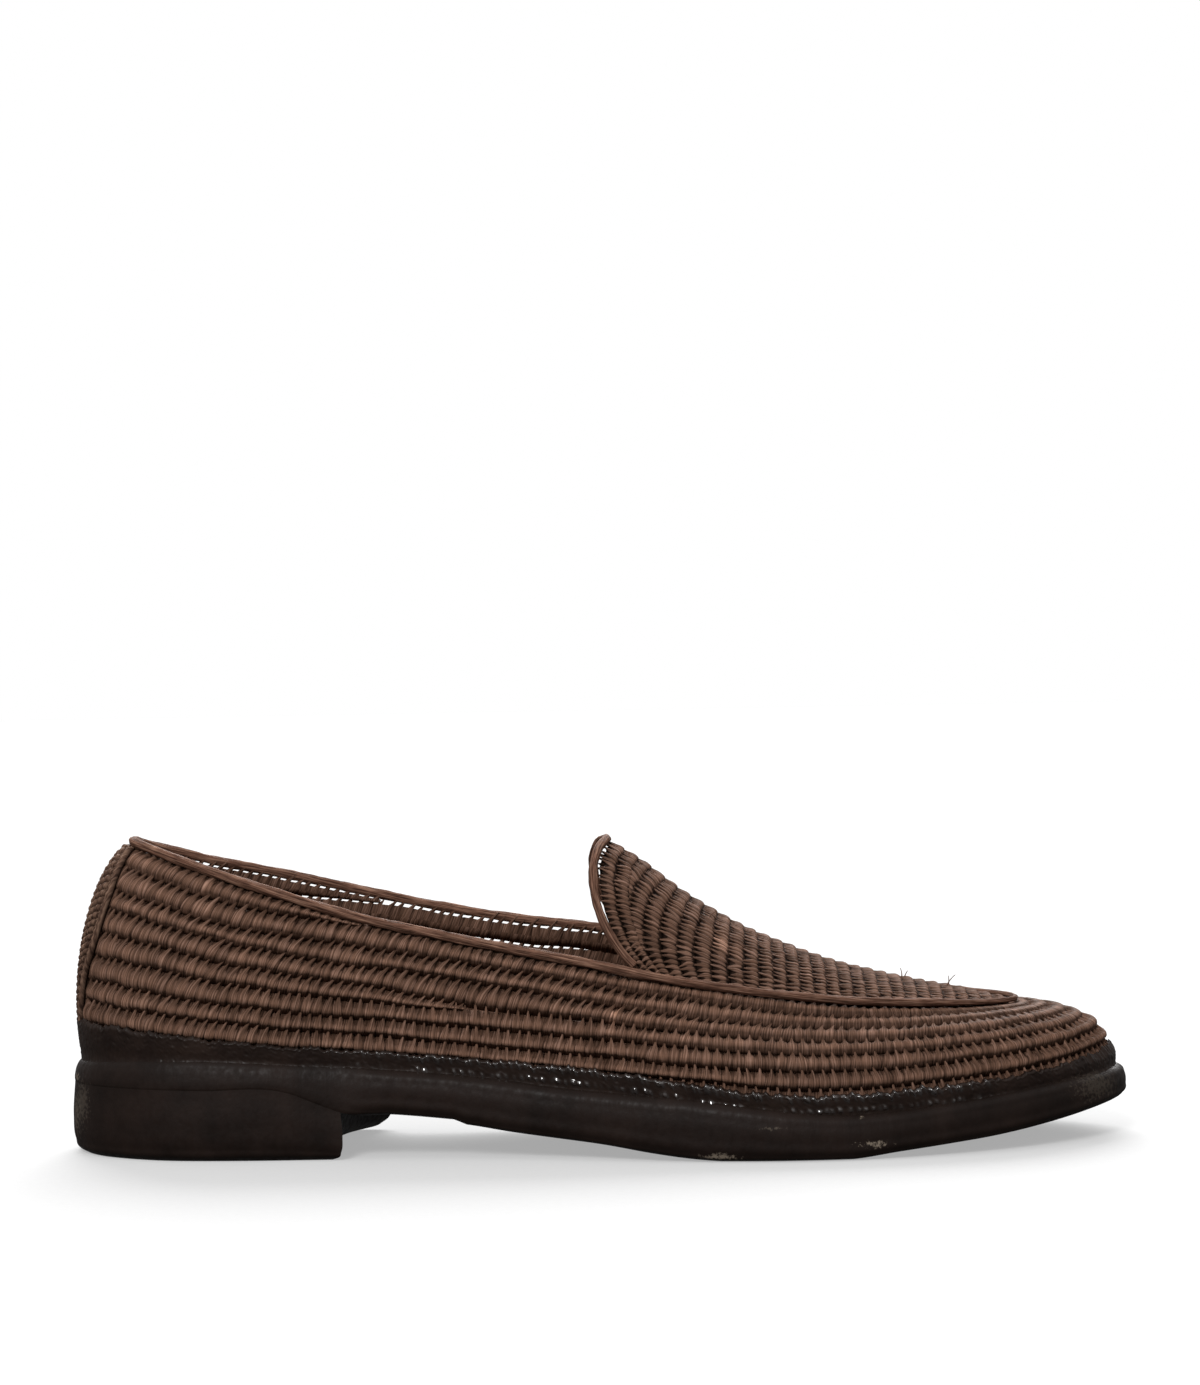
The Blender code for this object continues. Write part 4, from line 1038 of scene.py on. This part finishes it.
def cut_insole(material):
    """Leather footbed, slightly cupped towards its edge."""
    angles = np.linspace(0.0, math.pi, 161)
    outer, inner = (outline(phi, -INSOLE_INSET)[0] for phi in (angles, TURN - angles))
    across = np.linspace(0.0, 1.0, 33)
    cup = INSOLE_CUP * (2 * across - 1) ** 4
    top = [on_sole(outer + (inner - outer) * w, GAP + INSOLE_THICKNESS + lift)
           for w, lift in zip(across, cup)]
    bottom = [on_sole(outer + (inner - outer) * w, GAP) for w in across[::-4]]
    grid = np.stack(top + bottom, axis=1)
    fibres = fibre_grid(stretch(angles), np.arange(grid.shape[1] + 1.0))
    return one_tube("leather_insole", grid, fibres, 1.0, material, **LEATHER_CUT)


def pull_loose_ends(material):
    """Short whiskers of raffia that stand off the apron."""
    skein = Skein()
    turns = np.linspace(0.0, TURN, 6, endpoint=False)
    round_it, flat_of_it = np.cos(turns)[None, :, None], LOOSE_FLATNESS * np.sin(turns)[None, :, None]
    t = np.linspace(0.0, 1.0, 13)[:, None]
    for k, (x, across, length, lean) in enumerate(LOOSE_ENDS):
        x, across = np.array([x]), np.array([across])
        root, normal = apron(x, across)[0], facing(apron, x, across, low=-1.0)[0]
        bend = np.array([lean, 0.25 * (-1) ** k, 0.0])
        line = root - normal * 0.4 + length * (t * normal + 0.6 * t * t * bend)
        tangent = unit(np.gradient(line, axis=0))
        side = unit(np.cross(tangent, (0.0, 1.0, 0.0)))
        other = np.cross(side, tangent)
        radius = LOOSE_RADIUS * (1 - 0.6 * t[..., None])
        grid = line[:, None] + radius * (round_it * side[:, None] + flat_of_it * other[:, None])
        along_fibre, across_fibre = fibre_grid(t[:, 0] * length, np.append(turns, TURN) * LOOSE_RADIUS)
        skein.add(grid, across_fibre, along_fibre, LOOSE_TONE)
    return skein.make("loose_raffia_ends", material)


def linear(code):
    """sRGB hex colour as linear red, green, blue and alpha."""
    channels = [int(code[k:k + 2], 16) / 255 for k in (1, 3, 5)]
    return [c / 12.92 if c <= 0.04045 else ((c + 0.055) / 1.055) ** 2.4 for c in channels] + [1.0]


def fill(node, settings):
    """Options, sockets and colour stops of a node; another node's output is linked."""
    for name, value in settings.items():
        if name == "stops":
            elements = node.color_ramp.elements
            while len(elements) < len(value):
                elements.new(0.5)
            for element, (position, code) in zip(elements, value):
                element.position = position
                element.color = linear(code)
        elif isinstance(value, bpy.types.NodeSocket):
            node.id_data.links.new(value, node.inputs[name])
        elif isinstance(name, str) and hasattr(node, name):
            setattr(node, name, value)
        else:
            node.inputs[name].default_value = value


def add(tree, kind, output, settings):
    """A new node, filled in; gives back one of its outputs."""
    made = tree.nodes.new("ShaderNode" + kind)
    fill(made, settings)
    return made.outputs[output]


def surface(name, settings):
    """New material: its node tree and its shader."""
    made = bpy.data.materials.new(name)
    made.use_nodes = True
    shader = made.node_tree.nodes["Principled BSDF"]
    fill(shader, settings)
    return made, made.node_tree, shader


def raffia(name, dark, body, pale, fibre):
    """Dyed raffia palm, split and wound by hand: dull ribbons with a faint waxy gleam.

    Fibres are about 0.1 mm wide; they are drawn several times coarser, so that they show.
    Places are in millimetres here: across the fibres, then along them.
    """
    made, tree, shader = surface(name, {"Roughness": 0.6, "IOR": 1.46, "Specular IOR Level": 0.04})
    place = add(tree, "UVMap", "UV", {"uv_map": "fibre"})
    ribbon = add(tree, "Mapping", "Vector", {"Vector": place, "Scale": (1 / fibre, 1 / 9.0, 1.0)})
    fibres = add(tree, "TexNoise", "Fac", {
        "noise_dimensions": "2D", "Vector": ribbon, "Scale": 1.0, "Detail": 3.0, "Roughness": 0.62})
    patch = add(tree, "Mapping", "Vector", {
        "Vector": place, "Scale": (1 / 6.0, 1 / 14.0, 1.0), "Location": (31.0, 7.0, 0.0)})
    patches = add(tree, "TexNoise", "Fac", {
        "noise_dimensions": "2D", "Vector": patch, "Scale": 1.0, "Detail": 2.0})
    stops = (0.34, dark), (0.50, body), (0.67, pale)
    colour = add(tree, "ValToRGB", "Color", {"Fac": fibres, "stops": stops})
    shade = add(tree, "MapRange", "Result", {
        "Value": patches, "From Min": 0.25, "From Max": 0.75, "To Min": 0.84, "To Max": 1.14})
    # The tone attribute brings in painted highlight and shade as well as dye
    tone = add(tree, "Attribute", "Fac", {"attribute_name": "tone"})
    both = add(tree, "Math", "Value", {"operation": "MULTIPLY", 0: shade, 1: tone})
    tinted = add(tree, "VectorMath", "Vector", {"operation": "SCALE", "Vector": colour, "Scale": both})
    bump = add(tree, "Bump", "Normal", {"Height": fibres, "Strength": 0.7, "Distance": 0.4 * MM})
    fill(shader, {"Base Color": tinted, "Normal": bump})
    return made


def rubber(name, dark, body, gloss, lumpy):
    """Natural rubber, dipped in coats and cured: a near black skin, glossy on lumps, scuffed, dusty,
    with painted sheen as broad pale patches over the heel's back and the toe.
    """
    made, tree, shader = surface(name, {"Roughness": gloss, "IOR": 1.5, "Specular IOR Level": 0.12})
    place = add(tree, "TexCoord", "Object", {})
    blotch = add(tree, "TexNoise", "Fac", {
        "Vector": place, "Scale": 1 / (11 * MM), "Detail": 4.0, "Roughness": 0.6})
    colour = add(tree, "ValToRGB", "Color", {"Fac": blotch, "stops": ((0.30, dark), (0.70, body))})
    dust = add(tree, "TexVoronoi", "Distance", {"Vector": place, "Scale": 1 / (7.5 * MM)})
    grain = add(tree, "SeparateColor", "Red", {"Color": dust.node.outputs["Color"]})
    limit = add(tree, "MapRange", "Result", {
        "Value": grain, "From Min": 0.70, "From Max": 1.0, "To Min": 0.0, "To Max": 0.045})
    marks = add(tree, "Math", "Value", {"operation": "LESS_THAN", 0: dust, 1: limit})
    scratch = add(tree, "TexNoise", "Fac", {
        "Vector": place, "Scale": 1 / (0.9 * MM), "Detail": 4.0, "Roughness": 0.7})
    # Pale scuffs, and painted sheen as two broad faint patches over the heel's back and the toe
    for spot, size, strength in SCUFFS_AND_SHEEN:
        inside = add(tree, "VectorMath", "Vector", {
            "operation": "SUBTRACT", 0: place, 1: Vector(to_world(spot))})
        scaled = add(tree, "VectorMath", "Vector", {
            "operation": "DIVIDE", 0: inside, 1: Vector(size) * MM})
        far = add(tree, "VectorMath", "Value", {"operation": "LENGTH", 0: scaled})
        broken_reach = add(tree, "Math", "Value", {"operation": "MULTIPLY_ADD", 0: scratch, 1: 2.6, 2: far})
        patch = add(tree, "MapRange", "Result", {
            "Value": broken_reach, "From Min": 1.5, "From Max": 1.85, "To Min": strength, "To Max": 0.0})
        marks = add(tree, "Math", "Value", {"operation": "MAXIMUM", 0: marks, 1: patch})
    # Pale dust colour over the specks, the scuffs and the painted sheen patches
    dust_and_sheen = add(tree, "Mix", 2, {"data_type": "RGBA", 0: marks, 6: colour, 7: linear("#85786a")})
    runs = add(tree, "Mapping", "Vector", {
        "Vector": place, "Scale": (1 / (3 * MM), 1 / (3 * MM), 1 / (20 * MM))})
    run_lines = add(tree, "TexNoise", "Fac", {"Vector": runs, "Scale": 1.0, "Detail": 3.0})
    skin = add(tree, "TexNoise", "Fac", {"Vector": place, "Scale": 1 / (1.6 * MM), "Detail": 2.0})
    relief = add(tree, "Math", "Value", {"operation": "MULTIPLY_ADD", 0: skin, 1: 0.35, 2: run_lines})
    bump = add(tree, "Bump", "Normal", {"Height": relief, "Strength": 0.55, "Distance": 0.35 * MM})
    rough = add(tree, "MapRange", "Result", {
        "Value": skin, "From Min": 0.35, "From Max": 0.65,
        "To Min": gloss - 0.14, "To Max": gloss + 0.06})
    if lumpy:
        gleam = add(tree, "Attribute", "Fac", {"attribute_name": "tone"})
        rough = add(tree, "MapRange", "Result", {"Value": gleam, "To Min": rough, "To Max": 0.1})
        fill(shader, {"Coat Weight": gleam, "Coat IOR": 2.2, "Coat Roughness": 0.1})
    fill(shader, {"Base Color": dust_and_sheen, "Roughness": rough, "Normal": bump})
    return made


def insole_leather():
    """Vegetable tanned calf, glued flat: matt brown with a fine pebble and darker handling marks."""
    made, tree, shader = surface("vegetable_tanned_leather",
                                 {"Roughness": 0.6, "IOR": 1.5, "Specular IOR Level": 0.35})
    place = add(tree, "TexCoord", "Object", {})
    marks = add(tree, "TexNoise", "Fac", {"Vector": place, "Scale": 1 / (30 * MM), "Detail": 4.0})
    stops = (0.3, "#4a3426"), (0.7, "#6a4c38")
    colour = add(tree, "ValToRGB", "Color", {"Fac": marks, "stops": stops})
    pebble = add(tree, "TexVoronoi", "Distance", {"Vector": place, "Scale": 1 / (1.1 * MM)})
    bump = add(tree, "Bump", "Normal", {"Height": pebble, "Strength": 0.35, "Distance": 0.2 * MM})
    fill(shader, {"Base Color": colour, "Normal": bump})
    return made


def lit_table():
    """Frosted white acrylic, lit from below as a shooting table: shadows on it stay pale."""
    made, tree, shader = surface("frosted_white_acrylic", {
        "Roughness": 0.9, "IOR": 1.45, "Specular IOR Level": 0.1,
        "Emission Color": WHITE, "Emission Strength": TABLE_GLOW})
    place = add(tree, "TexCoord", "Object", {})
    tooth = add(tree, "TexNoise", "Fac", {"Vector": place, "Scale": 1 / (2 * MM)})
    stops = (0.3, "#afafaf"), (0.7, "#b2b2b2")
    fill(shader, {"Base Color": add(tree, "ValToRGB", "Color", {"Fac": tooth, "stops": stops})})
    return made


def roll_out_floor():
    """Plain table under the shoe, which the camera sees and the shoe doesn't mirror."""
    mesh = bpy.data.meshes.new("studio_floor")
    shape = bmesh.new()
    bmesh.ops.create_grid(shape, x_segments=4, y_segments=4, size=4.0)
    shape.to_mesh(mesh)
    shape.free()
    mesh.materials.append(lit_table())
    floor = put("studio_floor", mesh)
    floor.visible_diffuse = False
    floor.visible_glossy = False


def light_studio():
    """White backdrop, a soft dome, a broad light high behind the shoe and one high in front."""
    world = bpy.data.worlds.new("studio")
    world.use_nodes = True
    bpy.context.scene.world = world
    tree = world.node_tree
    seen = add(tree, "LightPath", "Is Camera Ray", {})
    place = add(tree, "TexCoord", "Generated", {})
    height = add(tree, "SeparateXYZ", "Z", {"Vector": place})
    dome = add(tree, "MapRange", "Result", {
        "interpolation_type": "SMOOTHSTEP", "Value": height, "From Min": 0.0, "From Max": 0.9,
        "To Min": HORIZON_GLOW, "To Max": TOP_GLOW})
    ground = add(tree, "MapRange", "Result", {
        "Value": height, "From Min": -0.12, "From Max": 0.0, "To Min": GROUND_GLOW, "To Max": dome})
    glow = add(tree, "Mix", 0, {"data_type": "FLOAT", 0: seen, 2: ground, 3: 1.0})
    fill(tree.nodes["Background"], {"Strength": glow, "Color": WHITE})
    for name, towards, spread, power in LIGHTS:
        lamp = bpy.data.lights.new(name, "SUN")
        lamp.angle = math.radians(spread)
        lamp.energy = power
        holder = put(name, lamp)
        holder.location = towards
        holder.rotation_euler = (-Vector(towards)).to_track_quat("-Z", "Y").to_euler()


def set_camera():
    """Camera of the photograph: low, from the outer side, slightly dipped and rolled."""
    dip, roll = math.radians(CAMERA_DIP), math.radians(CAMERA_ROLL)
    forward = Vector((0.0, math.cos(dip), -math.sin(dip)))
    upright = Vector((0.0, math.sin(dip), math.cos(dip)))
    level = Vector((1.0, 0.0, 0.0))
    right = level * math.cos(roll) - upright * math.sin(roll)
    up = level * math.sin(roll) + upright * math.cos(roll)
    turned = Matrix((right, up, -forward)).transposed()
    data = bpy.data.cameras.new("photo_camera")
    data.sensor_width = SENSOR
    data.lens = SENSOR * FOCAL_PIXELS / max(PHOTO_SIZE)
    data.clip_end = 30.0
    camera = put("photo_camera", data)
    camera.matrix_world = Matrix.Translation(CAMERA_PLACE) @ turned.to_4x4()
    bpy.context.scene.camera = camera


def fit(piece, node):
    """A piece of the shoe stands for its solid and moves with the shoe."""
    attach(piece, "root")
    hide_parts(node)


def main():
    bpy.context.scene.view_settings.view_transform = "Standard"
    set_camera()
    light_studio()
    roll_out_floor()
    weave = raffia("dyed_raffia_wound", "#48352b", "#63493b", "#826557", 0.38)
    cord = raffia("dyed_raffia_corded", "#483127", "#765546", "#967461", 0.4)
    knit = raffia("dyed_raffia_crocheted", "#44322a", "#6e5446", "#907361", 0.4)
    skin = rubber("natural_rubber_dipped", "#1f1714", "#2f241f", 0.42, lumpy=True)
    block = rubber("natural_rubber_moulded", "#1a1310", "#281e1a", 0.55, lumpy=False)
    for side in ("outer", "inner"):
        fit(weave_side(side, weave), "upper")
    fit(weave_apron(weave), "upper")
    fit(pull_loose_ends(weave), "upper")
    fit(wrap_edge_piping(cord), "edge_piping")
    fit(wrap_throat_piping(cord), "throat_piping")
    fit(crochet_back_strip(knit), "back_strip")
    fit(dip_rand(skin), "rand")
    fit(pour_sole(block), "outsole")
    fit(mould_heel(block), "heel")
    fit(cut_insole(insole_leather()), "insole")


main()
